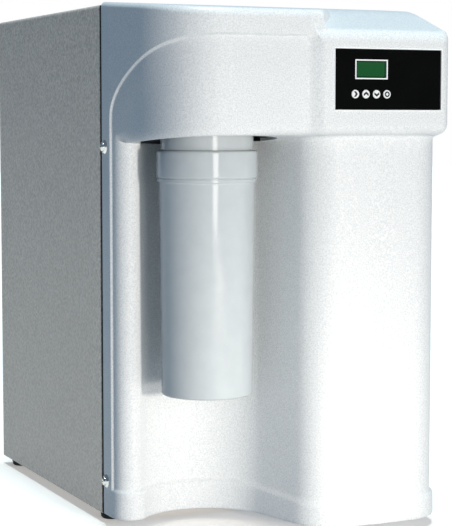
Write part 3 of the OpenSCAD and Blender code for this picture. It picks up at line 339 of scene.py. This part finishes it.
def buildCover(s):
    tanD, cosD, sinD = (f(math.radians(s["draft"])) for f in (math.tan, math.cos, math.sin))
    tanU, tanT, tanS = (math.tan(math.radians(s[k])) for k in ("underRise", "topFall", "slopeFall"))
    headV = s["reach"] - s["proud"]
    panelLeft, panelRight, panelFoot, panelTop = s["opening"]

    def spread(low, high, count):
        return [mix(low, high, k / count) for k in range(count + 1)]

    def stepped(stops, counts):  # places from stop to stop, without the first
        pairs = zip(stops, stops[1:], counts)
        return [place for low, high, count in pairs for place in spread(low, high, count)[1:]]

    def joined(*runs):
        return [p for k, run in enumerate(runs) for p in (run if k == 0 else run[1:])]

    def touching(v, r):  # centre of a corner that touches the slanted side
        return Vector((s["step"] + (v - s["band"]) * tanD + r / cosD, v))

    def flip(p):
        return Vector((s["width"] - p.x, p.y))

    # runs of an outline seen from above: places, each with the way that it faces
    def sideRun(places, right=False):
        run = []
        for v in places:
            p = Vector((s["step"] + max(0.0, v - s["band"]) * tanD, v))
            n = Vector((-1, 0)) if v < s["band"] else Vector((-cosD, sinD))
            run.append((flip(p), Vector((-n.x, n.y))) if right else (p, n))
        return run

    def frontRun(places, v):
        return [(Vector((u, v)), Vector((0, 1))) for u in places]

    def arcRun(centre, radius, start, end, count, out=1):
        ways = [Vector(onCircle(1, turn)) for turn in spread(start, end, count)]
        return [(centre + radius * way, way * out) for way in ways]

    def cornerRun(count):
        first, last = sideRun([bend])[0][0], Vector((turned, headV))
        spots = []
        for k in range(-1, count + 2):
            t = k / count
            parts = (1 - t) ** 2, 2 * sharp * t * (1 - t), t * t
            spots.append((first * parts[0] + square * parts[1] + last * parts[2]) / sum(parts))
        ways = [(q - p).normalized() for p, q in zip(spots, spots[2:])]
        ways[0], ways[-1] = Vector((sinD, cosD)), Vector((1, 0))
        return [(p, Vector((-way.y, way.x))) for p, way in zip(spots[1:], ways)]

    bay = Vector(s["bayAxis"])
    ridge = touching(s["ridgeReach"] - s["ridgeRound"], s["ridgeRound"])
    ridgeTurn = math.degrees(math.atan2(bay.y - ridge.y, bay.x - ridge.x))
    bayR = (bay - ridge).length - s["ridgeRound"]
    flank = math.radians(s["flank"])
    flankWay = Vector((-math.cos(flank), math.sin(flank)))
    flankStart = bay - bayR * flankWay
    colV, colR = s["reach"] - s["columnBack"] - s["columnRound"], s["columnRound"]
    flankEnd = flankStart.x + (colV - flankStart.y) * math.tan(flank)
    colLeft = Vector((flankEnd + colR / math.cos(flank), colV))
    colRight = flip(touching(colV, colR))
    crown = Vector(((colLeft.x + colRight.x) / 2, 0))
    crown.y = colV - math.sqrt((s["crown"] - colR) ** 2 - (crown.x - colLeft.x) ** 2)
    crownTurn = math.degrees(math.atan2(colV - crown.y, colLeft.x - crown.x))
    bend, turned, sharp = s["corner"]  # the head's corner starts and ends here, and bulges this much
    square = Vector((s["step"] + (headV - s["band"]) * tanD, headV))
    houseC = flip(touching(s["reach"] - s["housingRound"], s["housingRound"]))

    # columns gather at the band's edge, in the groove beside the housing and at the opening's sides
    left = [6, 10, 15, 20, 23, 24.4, 25.2, 25.8, 26.4, 27, 27.6, 28.2, 28.8, 29.6, 31,
            ridge.y + s["ridgeRound"] * sinD]
    right = [colV + colR * sinD, 105, 92, 80, 70, 60, 50, 42, 36, 32] + left[:13][::-1]
    front = stepped((turned, 150, 174.4), (34, 16)) + [175.9, panelLeft, 179, 181.5, 184]
    housing = stepped((front[-1], 230, 290), (16, 10)) + [panelRight, houseC.x]
    leftCount, ridgeCount, flankCount, turnCount = len(left), 10, 8, 10
    bayCounts = 34, 48, 34  # along the head's side, round its corner and along its front
    bayCount, columnCount = sum(bayCounts), len(front) - bayCounts[2]
    lowRun = joined(
        sideRun(left),
        arcRun(ridge, s["ridgeRound"], 180 - s["draft"], ridgeTurn, ridgeCount),
        arcRun(bay, bayR, 180 + ridgeTurn, 360 - s["flank"], bayCount, -1),
        [(p, flankWay) for p in spread(flankStart, colLeft + colR * flankWay, flankCount)],
        arcRun(colLeft, colR, 180 - s["flank"], crownTurn, columnCount - flankCount),
        arcRun(crown, s["crown"], crownTurn, 180 - crownTurn, len(housing)),
        arcRun(colRight, colR, 180 - crownTurn, s["draft"], 2 * turnCount),
        sideRun(right, True))
    headRun = joined(
        sideRun(left),
        sideRun(spread(left[-1], s["ridgeReach"], ridgeCount)),
        sideRun(spread(s["ridgeReach"], bend, bayCounts[0])),
        cornerRun(bayCounts[1]),
        frontRun([turned] + front, headV),
        frontRun([front[-1]] + housing, s["reach"]),
        arcRun(houseC, s["housingRound"], 90, s["draft"], turnCount),
        sideRun(spread(houseC.y + s["housingRound"] * sinD, right[0], turnCount), True),
        sideRun(right, True))
    count = len(lowRun)
    bayFirst = leftCount + ridgeCount - 1
    bayLast = bayFirst + bayCount
    houseFirst = bayLast + columnCount  # beyond it the outline is the display housing's
    swing = 10, 16  # columns in which the mouth's edge comes away from the bay's two ends

    def mouthAt(i):  # edge of the opening round the filter's neck, kept inside the head's side
        k = i - bayFirst
        way = headRun[i][0] - bay
        turn = math.degrees(math.atan2(way.y, way.x)) % 360
        turn = mix(180 + ridgeTurn, turn, smooth(0, swing[0], k))
        turn = mix(turn, -s["flank"], (max(0, k - bayCount + swing[1]) / swing[1]) ** 2)
        return bay + min(bayR, way.length - s["mouthGap"]) * Vector(onCircle(1, turn))

    def underZ(v):
        return s["lip"] - (s["reach"] - v) * tanU

    def scoopRise(v):
        t = clamp((v - left[-1]) / s["scoop"])
        return s["scoop"] * (1 - math.sqrt(1 - (1 - t) ** 2))

    def headTop(v):
        return s["height"] + s["lift"] - v * tanT

    def houseTop(v):  # falls gently, then bends into the slope above the display
        t = clamp((v - s["slopeStart"] + s["slopeBend"]) / (2 * s["slopeBend"]))
        extra = s["slopeBend"] * t * t if t < 1 else v - s["slopeStart"]
        return headTop(v) - extra * (tanS - tanT)

    def shoulderAt(v):  # the plain head reaches this far right above the housing's slope
        for (v0, u0), (v1, u1) in zip(s["shoulder"], s["shoulder"][1:]):
            if v > v1:
                return max(u0, mix(u0, u1, (v0 - v) / (v0 - v1)))
        return s["shoulder"][-1][1]

    # the raised border's edge on the head, as depth and height, and on past both ends
    a, b, c, d = (Vector(p) for p in s["sweep"])
    edge = [(1 - t) ** 3 * a + 3 * (1 - t) ** 2 * t * b + 3 * (1 - t) * t * t * c + t ** 3 * d
            for t in spread(0, 1, 60)]
    edge = [Vector((a.x, -20))] + edge + [Vector((400, d.y))]

    def softness(v):
        return mix(*s["soft"], smooth(*s["softRange"], v))

    def eased(gap):  # the framed surface swells a little towards the border
        return s["ease"][0] * (1 - smooth(0, s["ease"][1], gap))

    def raised(p):  # 1 on the raised border, 0 on the surface that it frames
        best, sign = 1e9, 1
        for q0, q1 in zip(edge, edge[1:]):
            run = q1 - q0
            t = clamp((p - q0).dot(run) / run.length_squared)
            gap = p - (q0 + run * t)
            if gap.length < best:
                best, sign = gap.length, 1 if run.x * gap.y - run.y * gap.x > 0 else -1
        full = smooth(-softness(p.x), softness(p.x), best * sign)
        return full + (1 - full) * eased(best) * (1 - smooth(*s["easeRange"], p.x))

    def banded(v):  # 1 on the band behind, 0 in front of it
        full = 1 - smooth(a.x - s["soft"][0], a.x + s["soft"][0], v)
        return full + (1 - full) * eased(max(0.0, v - a.x))

    # rows: heights past the plinth, shares of the wall above it, then counts, with faceRows and
    # houseRows adding up to the same
    lowRows = [0, 0.5, 1.6, 5, 12, 20, 25.5, 27, 28, 29, 30, 31, 32, 33, 34.5, 37, 44, 60]
    climb = [0.06, 0.14, 0.24, 0.34, 0.44, 0.54, 0.64, 0.74, 0.83, 0.9, 0.95, 0.98, 1]
    faceRows, houseRows, topRows, browRows, lipRows = (22, 12, 16), (8, 30, 12), (12, 6, 13), 14, 8
    mouthShares, bayShares, underShares = (0, 0.06, 0.14, 0.24), (0.4, 0.6, 0.8), (0.25, 0.5, 0.75)
    slack = 0.4  # between the shoulder and the rows that frame it
    hollowFade, wallFade = 7, 6  # columns in which these fade out beside the bay

    def borderHeights(v, low, high):  # rows gather where the border crosses this column
        rise, steep = a.y, s["steepest"]
        for q0, q1 in zip(edge[1:], edge[2:]):
            if q0.x <= v < q1.x and q1.x - q0.x > 1e-4:
                steep = (q1.y - q0.y) / (q1.x - q0.x)
                rise = q0.y + (v - q0.x) * steep
        half = min(s["gather"][0], s["gather"][1] * softness(v) * math.sqrt(1 + steep * steep))
        return stepped((low, rise - half, rise + half, high), faceRows)

    def topShares(u):  # rows gather where the shoulder crosses this column
        depth = s["shoulder"][-1][0]
        for (v0, u0), (v1, u1) in list(zip(s["shoulder"], s["shoulder"][1:]))[::-1]:
            if u < u1:
                depth = mix(v0, v1, max(0.0, (u - u0) / (u1 - u0)))
        first, last = s["reach"] - s["housingBrow"], s["foam"]
        stops = first, depth + slack, depth - s["shoulderRun"] - slack, last
        return [(first - v) / (first - last) for v in stepped(stops, topRows)]

    def columnPath(i):
        low, lowN = lowRun[i]
        head, headN = headRun[i]
        inBay = bayFirst <= i <= bayLast
        onRight = i >= count - len(right)
        isHouse = i > houseFirst
        flat = headN.y > 0.999
        nearBay = min(abs(i - bayFirst), abs(i - bayLast))
        side = 1.0 if i < leftCount or onRight else max(0.0, 1 - (i - leftCount + 1) / ridgeCount)
        lift = scoopRise(head.y) if leftCount - 1 <= i <= bayFirst + 3 else 0.0
        # how far the face and the brow are the housing's
        blend, housed = (1.0 if isHouse else smooth(*s[key], head.x) if flat else 0.0
                         for key in ("blend", "browStart"))
        houseFace = head if isHouse else head + Vector((0, s["proud"]))
        lipFace = mix(head, houseFace, blend)
        gap = lipFace - low
        reach = gap.length
        along = gap / reach if reach > 1e-6 else Vector((0, 1))
        path = []

        # up the wall
        deepest = min(s["hollow"][0], s["hollow"][1] * reach)
        hollow = 0.0 if inBay else deepest * smooth(0, hollowFade, nearBay)
        wallRise = s["wallTop"] * smooth(0, wallFade, nearBay) if inBay else 0.0
        wallTop = underZ(low.y) + lift - hollow + wallRise
        fall = s["plinthFall"] * max(0.0, low.y - s["ridgeReach"])
        for k, z in enumerate(lowRows + [mix(lowRows[-1], wallTop, t) for t in climb]):
            foot = 1 - smooth(s["plinth"] - s["plinthSoft"], s["plinth"] + s["plinthSoft"], z)
            z -= fall * smooth(*s["fallStart"], z) * (1 - smooth(*s["fallEnd"], z))
            grow = s["step"] * max(foot, banded(low.y) * side) - s["footIn"][min(k, 2)]
            path.append((low + lowN * grow, z))

        # under the head, from the hollow or the mouth's edge to the lip
        bandLow = s["step"] * banded(low.y) * side
        start = mouthAt(i) if inBay else low + along * hollow
        lipR = min(s["lipRound"], s["lipShares"][0] * (lipFace - start).length)
        if inBay and flat and abs(head.x - bay.x) < bayR:
            mouthV = bay.y + math.sqrt(bayR ** 2 - (head.x - bay.x) ** 2)
            lipR = min(lipR, s["lipShares"][0] * (lipFace.y - mouthV))
        lipUp = min(s["lipRound"], s["lipShares"][1] * reach)
        lipStart = lipFace - headN * lipR
        lipZ = underZ(lipStart.y) + lift
        lowZ = lipZ + lipUp
        for k, share in enumerate(mouthShares):
            turn = math.radians(90 * (k + 1) / len(mouthShares))
            if inBay:
                p, drop = mix(start, lipStart, share), 0.0
            else:
                p, drop = low + along * hollow * (1 - math.cos(turn)), hollow * (1 - math.sin(turn))
            path.append((p + lowN * bandLow, underZ(p.y) + lift - drop))
        for share in bayShares if inBay else underShares:
            p = mix(start, lipStart, share)
            path.append((p + headN * bandLow, underZ(p.y) + lift))
        lipGrow = bandLow if isHouse else s["step"] * raised(Vector((head.y, lowZ))) * (1 - blend)
        for t in spread(0, 1, lipRows):
            turn = math.radians(90 * t)
            p = lipStart + headN * (lipR * math.sin(turn) + mix(bandLow, lipGrow, t))
            path.append((p, lipZ + lipUp * (1 - math.cos(turn))))

        # up the face: the plain head with its border, a groove, then the housing
        cornerTurn = smooth(0, 1, headN.y)
        plainR = mix(s["edgeRound"], s["brow"], cornerTurn)
        plain = head - Vector((0, s["proud"])) if isHouse and flat else head
        plainIn = plain + headN * (s["step"] - plainR)
        plainZ = headTop(plainIn.y) - plainR
        houseR = mix(s["edgeRound"], s["housingBrow"], cornerTurn)
        houseArc = math.radians(90 - s["slopeFall"] * cornerTurn)
        houseGrow = s["step"] * (banded(head.y) if onRight else 0.0)
        houseFront = mix(head + headN * s["step"], houseFace + headN * houseGrow, blend)
        houseIn = houseFront - headN * houseR * (1 - math.cos(houseArc))
        houseZ = houseTop(houseIn.y) - houseR * math.sin(houseArc)
        houseHeights = stepped((lowZ, panelFoot, panelTop, houseZ), houseRows)
        for z, z2 in zip(borderHeights(head.y, lowZ, plainZ), houseHeights):
            z = mix(z, z2, housed)
            grow = s["step"] * raised(Vector((head.y, z))) if blend < 1 else 0.0
            path.append((mix(head + headN * grow, houseFace + headN * houseGrow, blend), z))

        def plainTop(v):  # height of the plain head's brow and top at this depth
            t = clamp((v - plainIn.y) / plainR)
            return headTop(min(v, plainIn.y)) - plainR * (1 - math.sqrt(1 - t * t))

        def kept(v):  # 1 where the plain head's end stands as a shoulder above the housing's slope
            if not (flat or isHouse):
                return 0.0
            foremost, rightmost = plainIn.y + plainR, shoulderAt(v)
            inFront = smooth(*(foremost + x for x in s["shoulderFront"]), v)
            return inFront * (1 - smooth(rightmost - s["shoulderRun"], rightmost, head.x))

        # over the brow
        for t in spread(0, 1, browRows)[1:]:
            turn, turn2 = math.radians(90 * t), houseArc * t
            p = plain + headN * (s["step"] - plainR * (1 - math.cos(turn)))
            q = houseFront - headN * houseR * (1 - math.cos(turn2))
            z2 = houseZ + houseR * math.sin(turn2)
            z2 = mix(z2, max(z2, plainTop(q.y)), kept(q.y))
            path.append((mix(p, q, housed), mix(plainZ + plainR * math.sin(turn), z2, housed)))

        # back to the cabinet
        if isHouse and head.x > houseC.x - 0.01:
            share = (head.y - s["foam"]) / (s["reach"] - s["foam"])
            rear = s["width"] - mix(s["edgeRound"], s["width"] - houseC.x, share)
        elif head.x < turned:
            rear = mix(s["edgeRound"], turned, (head.y - s["foam"]) / (headV - s["foam"]))
        else:
            rear = min(head.x, houseC.x)
        for t in topShares(head.x):
            p, q = (mix(inner, Vector((rear, s["foam"])), t) for inner in (plainIn, houseIn))
            z2 = mix(houseTop(q.y), plainTop(q.y), kept(q.y))
            path.append((mix(p, q, housed), mix(headTop(p.y), z2, housed)))
        return path

    paths = [columnPath(i) for i in range(count)]
    rows = len(paths[0])
    bm = bmesh.new()
    bmesh.ops.create_grid(bm, x_segments=count - 1, y_segments=rows - 1, size=1)
    bm.verts.index_update()
    bm.verts.ensure_lookup_table()
    for i, path in enumerate(paths):
        for j, (p, z) in enumerate(path):
            bm.verts[j * count + i].co = at(p.x, p.y, z)

    # open the mouth round the filter's neck and the control panel's place, and close the foot
    mouthRow = len(lowRows) + len(climb) - 1
    faceRow = mouthRow + 10  # the panel's place lies above this row
    spare = 0.05  # catches corners that lie on the opening's edge
    panelLow = at(panelLeft - spare, 0, panelFoot - spare)
    panelHigh = at(panelRight + spare, 0, panelTop + spare)

    def inMouth(cols, lines):
        return min(lines) == mouthRow and bayFirst <= min(cols) and max(cols) <= bayLast

    def inPanel(spot):
        return panelLow.x < spot.x < panelHigh.x and panelLow.z < spot.z < panelHigh.z

    def spotOf(vert):
        return tuple(round(c, 5) for c in vert.co)

    gone = []
    for face in bm.faces:
        cols = [v.index % count for v in face.verts]
        lines = [v.index // count for v in face.verts]
        if inMouth(cols, lines) or min(lines) > faceRow and all(inPanel(v.co) for v in face.verts):
            gone.append(face)
    bm.faces.new([bm.verts[i] for i in range(count)][::-1])
    mouthSpots = {spotOf(bm.verts[(mouthRow + 1) * count + i]) for i in range(bayFirst, bayLast + 1)}
    bmesh.ops.delete(bm, geom=gone, context="FACES_ONLY")
    bmesh.ops.remove_doubles(bm, verts=bm.verts, dist=3e-6)
    rim = [e for e in bm.edges if e.is_boundary and all(spotOf(v) in mouthSpots for v in e.verts)]
    for vert in newVerts(bmesh.ops.extrude_edge_only(bm, edges=rim)):
        vert.co.z += s["wall"] / 1000
    bmesh.ops.recalc_face_normals(bm, faces=bm.faces)
    if frontToBack(bm)[0].normal.y > 0:
        bmesh.ops.reverse_faces(bm, faces=bm.faces)
    print("cover grid:", count, "x", rows, "opened", len(gone))
    return bm


cover = makePiece("coverMoulding", buildCover(mould), "cover_plastic", "cabinet", "front_cover")
print("cover:", len(cover.data.polygons), "faces")

# raised bead round the control panel: inner edges, rear and front
bead = dict(u=(178.25, 296.25), z=(414.25, 472.25), v=(169.6, 172.7), width=1.6, round=0.35)
(u0, u1), (v0, v1), (z0, z1) = (bead[key] for key in "uvz")
bm = boxMesh((u0 - bead["width"], v0, z0 - bead["width"]), (u1 + bead["width"], v1, z1 + bead["width"]))
faces = frontToBack(bm)
frontFace, backFace = faces[0], faces[-1]
bmesh.ops.inset_region(bm, faces=[frontFace], thickness=bead["width"] / 1000)
mouthEdges = list(frontFace.edges)
bmesh.ops.delete(bm, geom=[frontFace, backFace], context="FACES_ONLY")
for vert in newVerts(bmesh.ops.extrude_edge_only(bm, edges=mouthEdges)):
    vert.co.y = at(0, v0, 0).y
frontY = at(0, v1, 0).y
rim = [e for e in bm.edges if all(abs(v.co.y - frontY) < 1e-6 for v in e.verts)
       and len(e.link_faces) == 2 and sum(abs(face.normal.y) for face in e.link_faces) < 1.5]
bmesh.ops.bevel(bm, geom=rim, offset=bead["round"] / 1000, segments=3, profile=0.5, affect="EDGES",
                material=-1)
bmesh.ops.recalc_face_normals(bm, faces=bm.faces)
makePiece("panelBead", bm, "bezel_white", "cabinet")
print("bead done")

# hanging filter bowl, with a narrow ring under its collar: radii, and heights from foot, collar or top
bowl = dict(
    axis=mould["bayAxis"], foot=131.6, collar=345.6, top=374.6, steps=144,
    floorRadius=45.5, floorRound=2.6, wallStart=(45.52, 4.1),
    floor=((0, 2), (33.5, 2), (34.8, 1.4), (35.5, 0.2), (36, 0)),
    ring=((47.585, -4.7), (47.6, -3.2), (47.7, -2.7), (48.8, -2.6), (49.2, -2.2), (49.2, 0.6), (48.8, 1),
          (48.5, 1.1), (48.5, 1.7), (49.4, 1.8), (49.9, 2.2), (50, 2.8), (50, 4)),
    rim=((50, -3.8), (50, -2.6), (49.8, -1.5), (49.1, -0.6), (47.8, 0), (43.3, 0)),
    inside=((43.3, 217.6), (41.2, 203.6), (41.5, 10.5), (36.5, 5.5), (12.2, 5.5), (11.8, 11.5),
            (0, 11.5)))
bend = bowl["floorRound"]
corner = [(bowl["floorRadius"] - bend + x, bend + y)
          for x, y in (onCircle(bend, a) for a in range(-90, 1, 10))]
low = [*bowl["floor"], *corner, bowl["wallStart"]]
profile = [(r, bowl[base] + h) for part, base in (
    (low, "foot"), (bowl["ring"], "collar"), (bowl["rim"], "top"), (bowl["inside"], "foot"))
    for r, h in part]
bm = bmesh.new()
lathe(bm, at(*bowl["axis"], 0), (0, 0, 1), profile, bowl["steps"])
makePiece("bowlTurned", bm, "bowl_plastic", "filter_bowl", "filter_bowl")
print("bowl done")

# cross-recessed screws in cup washers, two on each side of the cover: radii and heights off the side
fixing = dict(
    v=14.5, z=(36, 377), cupSteps=64, domeSteps=120,
    recess=2.52, arm=12.1, core=0.87, deep=1.3, fade=0.2, crest=4,  # cross, shallower outwards
    cup=((2.4, 0), (7, 0), (7, 0.5), (6.7, 0.75), (6.2, 1.2), (5.5, 2.2), (5.1, 2.55), (4.8, 2.6),
         (4.6, 2.4), (4.6, 1.7), (2.4, 1.7), (2.4, 0)),
    dome=((0, 1.8), (4.4, 1.8), (4.45, 2.3), (4.35, 2.9), (4.05, 3.5), (3.6, 4.05), (3.1, 4.4),
          (2.6, 4.62), (2.5, 4.65), (2.1, 4.72), (1.7, 4.77), (1.3, 4.8), (0.95, 4.82), (0.85, 4.83),
          (0.5, 4.84), (0, 4.85)))
cups, domes = bmesh.new(), bmesh.new()
for side in (-1, 1):
    for z in fixing["z"]:
        foot = at(0 if side < 0 else mould["width"], fixing["v"], z)
        lathe(cups, foot, (side, 0, 0), fixing["cup"], fixing["cupSteps"])
        have = len(domes.verts)
        lathe(domes, foot, (side, 0, 0), fixing["dome"], fixing["domeSteps"])
        for vert in list(domes.verts)[have:]:  # sinks the cross
            out = (vert.co - foot) * 1000
            r, turn = math.hypot(out.y, out.z), math.degrees(math.atan2(out.z, out.y)) % 90
            inCore = r < fixing["core"]
            inArm = r < fixing["recess"] and min(turn, 90 - turn) < fixing["arm"]
            if abs(out.x) > fixing["crest"] and (inCore or inArm):
                vert.co.x -= side * fixing["deep"] * (1 - fixing["fade"] * r) / 1000
for bm, name, node in ((cups, "coverCups", "cover_washers"), (domes, "coverScrewHeads", "cover_screws")):
    bmesh.ops.recalc_face_normals(bm, faces=bm.faces)
    makePiece(name, bm, "nickel", "cabinet", node)
print("screws done")

# printed ink: nearly black and dull, with a fine speckle
ink = dict(tones=("#0a0a0b", "#161618"), rough=0.55, grain=0.4)
inkFinish, tree, shader, place = startFinish("screen ink dark grey", ink["rough"])
speck = addNode(tree, "ShaderNodeTexNoise", {"Scale": 1000 / ink["grain"], "Detail": 1},
                {"Vector": place})
tone = addNode(tree, "ShaderNodeValToRGB", links={"Fac": speck.outputs[0]},
               stops=zip((0, 1), ink["tones"]))
tree.links.new(tone.outputs[0], shader.inputs["Base Color"])

# four round keys with generic signs: stem and dished front as radii and depths
keys = dict(
    first=199.9, pitch=11.7, z=429, radius=4.1, front=172.88, edge=0.55, steps=48,
    stem=((0, 166.2), (2, 166.2), (2, 169.4), (5, 169.4), (5, 170.5), (4.1, 170.5)),
    dish=((3.1, 172.83), (2, 172.76), (0, 172.72)),
    chevron=((-1.9, 2.7), (0.4, 2.7), (2.4, 0), (0.4, -2.7), (-1.9, -2.7), (0.1, 0)),
    turns=dict(key_right=0, key_up=90, key_down=-90), disc=2.8, diamond=1.7,
    signFront=172.86, markFront=172.885, signDeep=0.3)
capEdge = [(keys["radius"] - keys["edge"] + x, keys["front"] - keys["edge"] + y)
           for x, y in (onCircle(keys["edge"], a) for a in range(0, 91, 15))]
keyProfile = [*keys["stem"], *capEdge, *keys["dish"]]


def signPlate(u, outline, front):
    bm = bmesh.new()
    plate = bm.faces.new([bm.verts.new(at(u + x, front, keys["z"] + y)) for x, y in outline])
    for vert in newVerts(bmesh.ops.extrude_face_region(bm, geom=[plate])):
        vert.co.y += keys["signDeep"] / 1000
    bmesh.ops.recalc_face_normals(bm, faces=bm.faces)
    return bm


for k, name in enumerate(("key_right", "key_up", "key_down", "key_enter")):
    u = keys["first"] + k * keys["pitch"]
    bm = bmesh.new()
    lathe(bm, at(u, 0, keys["z"]), (0, -1, 0), keyProfile, keys["steps"])
    makePiece(name + "Cap", bm, "key_white", name, name)
    isArrow = name in keys["turns"]
    if isArrow:
        cosA, sinA = onCircle(1, keys["turns"][name])
        outline = [(x * cosA - y * sinA, x * sinA + y * cosA) for x, y in keys["chevron"]]
    else:
        outline = [onCircle(keys["disc"], a) for a in range(0, 360, 12)]
    sign = makePiece(name + "Sign", signPlate(u, outline, keys["signFront"]), "key_white", name)
    sign.data.materials[0] = inkFinish
    if not isArrow:
        diamond = [onCircle(keys["diamond"], a) for a in range(0, 360, 90)]
        makePiece(name + "Mark", signPlate(u, diamond, keys["markFront"]), "key_white", name)
print("keys done")

# screen glass: dark border, and a green field with faint cells that hardly shines
screen = dict(centre=(217.7, 453), size=(33.3, 16.3), back=170.62, front=170.95, border=1.7, sunk=0.1,
              cell=0.62, line=0.06, tones=("#1f572f", "#215b32", "#1a4b28"), rough=0.16, specular=0.1)
glassFinish, tree, shader, place = startFinish(
    "lcd field green under glass", screen["rough"], specular=screen["specular"])
upright = addNode(tree, "ShaderNodeMapping", {"Rotation": (math.radians(90), 0, 0)}, {"Vector": place})
cellTones = {key: hexLinear(tone) for key, tone in zip(("Color1", "Color2", "Mortar"), screen["tones"])}
cells = addNode(tree, "ShaderNodeTexBrick", {
    "Scale": 1000, "Brick Width": screen["cell"], "Row Height": screen["cell"],
    "Mortar Size": screen["line"], **cellTones}, {"Vector": upright.outputs[0]}, offset=0.0)
tree.links.new(cells.outputs[0], shader.inputs["Base Color"])
(u, z), (wide, tall) = screen["centre"], screen["size"]
bm = boxMesh((u - wide / 2, screen["back"], z - tall / 2), (u + wide / 2, screen["front"], z + tall / 2))
field = frontToBack(bm)[0]
bmesh.ops.inset_region(bm, faces=[field], thickness=screen["border"] / 1000, depth=-screen["sunk"] / 1000)
field.material_index = 1
bmesh.ops.recalc_face_normals(bm, faces=bm.faces)
glass = makePiece("screenGlass", bm, "lcd_green", "cabinet")
glass.data.materials.append(glassFinish)
print("screen done")

# matt paper floor: pale and warm with hardly visible clouds, its own faint glow evens out shadows
paper = dict(half=12, rough=0.9, tones=("#fdf9f4", "#fffcf8"), cloudsPerMetre=6, glow="#fff8f0",
             glowStrength=0.3)
floorFinish, tree, shader, place = startFinish("paper sweep pale", paper["rough"])
shader.inputs["Emission Color"].default_value = hexLinear(paper["glow"])
shader.inputs["Emission Strength"].default_value = paper["glowStrength"]
cloud = addNode(tree, "ShaderNodeTexNoise", {"Scale": paper["cloudsPerMetre"], "Detail": 2},
                {"Vector": place})
tone = addNode(tree, "ShaderNodeValToRGB", links={"Fac": cloud.outputs[0]},
               stops=zip((0, 1), paper["tones"]))
tree.links.new(tone.outputs[0], shader.inputs["Base Color"])
bm = bmesh.new()
bmesh.ops.create_grid(bm, x_segments=1, y_segments=1, size=paper["half"])
floorMesh = bpy.data.meshes.new("floor")
bm.to_mesh(floorMesh)
bm.free()
floorMesh.materials.append(floorFinish)
floor = bpy.data.objects.new("floor", floorMesh)
scene.collection.objects.link(floor)
floor.visible_diffuse = False  # throws no light back on the part

# soft studio light: three panels aimed at the bowl's foot, and a broad sun from above
studio = dict(
    sky="#b4d2f0", skyStrength=0.285, backdrop="#ffffff", backdropStrength=1.0,
    panels=dict(
        key=dict(power=38.5, tint="#fff8ee", turn=6.8, rise=4.5, far=2.6, size=(0.12, 0.12),
                 mirror=False),
        box=dict(power=4.9, tint="#fffaf4", turn=-4, rise=8.8, far=1.75, size=(0.34, 0.5),
                 mirror=True),
        low=dict(power=0.58, tint="#fff8ee", turn=8, rise=-12, far=0.36, size=(0.24, 0.1),
                 mirror=False)),
    sun=dict(power=2.62, angle=14, height=2, tint="#ebfbff"))
world = bpy.data.worlds.new("studio")
scene.world = world
world.use_nodes = True
tree = world.node_tree
tree.nodes.clear()
sky, backdrop = (
    addNode(tree, "ShaderNodeBackground", {
        "Color": hexLinear(studio[key]), "Strength": studio[key + "Strength"]}).outputs[0]
    for key in ("sky", "backdrop"))
seen = addNode(tree, "ShaderNodeLightPath").outputs["Is Camera Ray"]
both = addNode(tree, "ShaderNodeMixShader", links={0: seen, 1: sky, 2: backdrop})
addNode(tree, "ShaderNodeOutputWorld", links={"Surface": both.outputs[0]})


def addLight(name, kind, look):
    data = bpy.data.lights.new(name, kind)
    data.energy, data.color = look["power"], hexLinear(look["tint"])[:3]
    light = bpy.data.objects.new(name, data)
    scene.collection.objects.link(light)
    return light, data


aim = at(*bowl["axis"], bowl["foot"])
for name, look in studio["panels"].items():
    light, data = addLight(name + "Light", "AREA", look)
    data.shape = "RECTANGLE"
    data.size, data.size_y = look["size"]
    (right, ahead), (level, up) = onCircle(1, 90 - look["turn"]), onCircle(1, look["rise"])
    light.location = aim + look["far"] * Vector((right * level, -ahead * level, up))
    light.rotation_euler = (aim - light.location).to_track_quat("-Z", "Y").to_euler()
    light.visible_glossy, light.visible_camera = look["mirror"], False
light, data = addLight("topLight", "SUN", studio["sun"])
data.angle = math.radians(studio["sun"]["angle"])
light.location = (0, 0, studio["sun"]["height"])
scene.view_settings.view_transform = "Standard"
print("stage done")
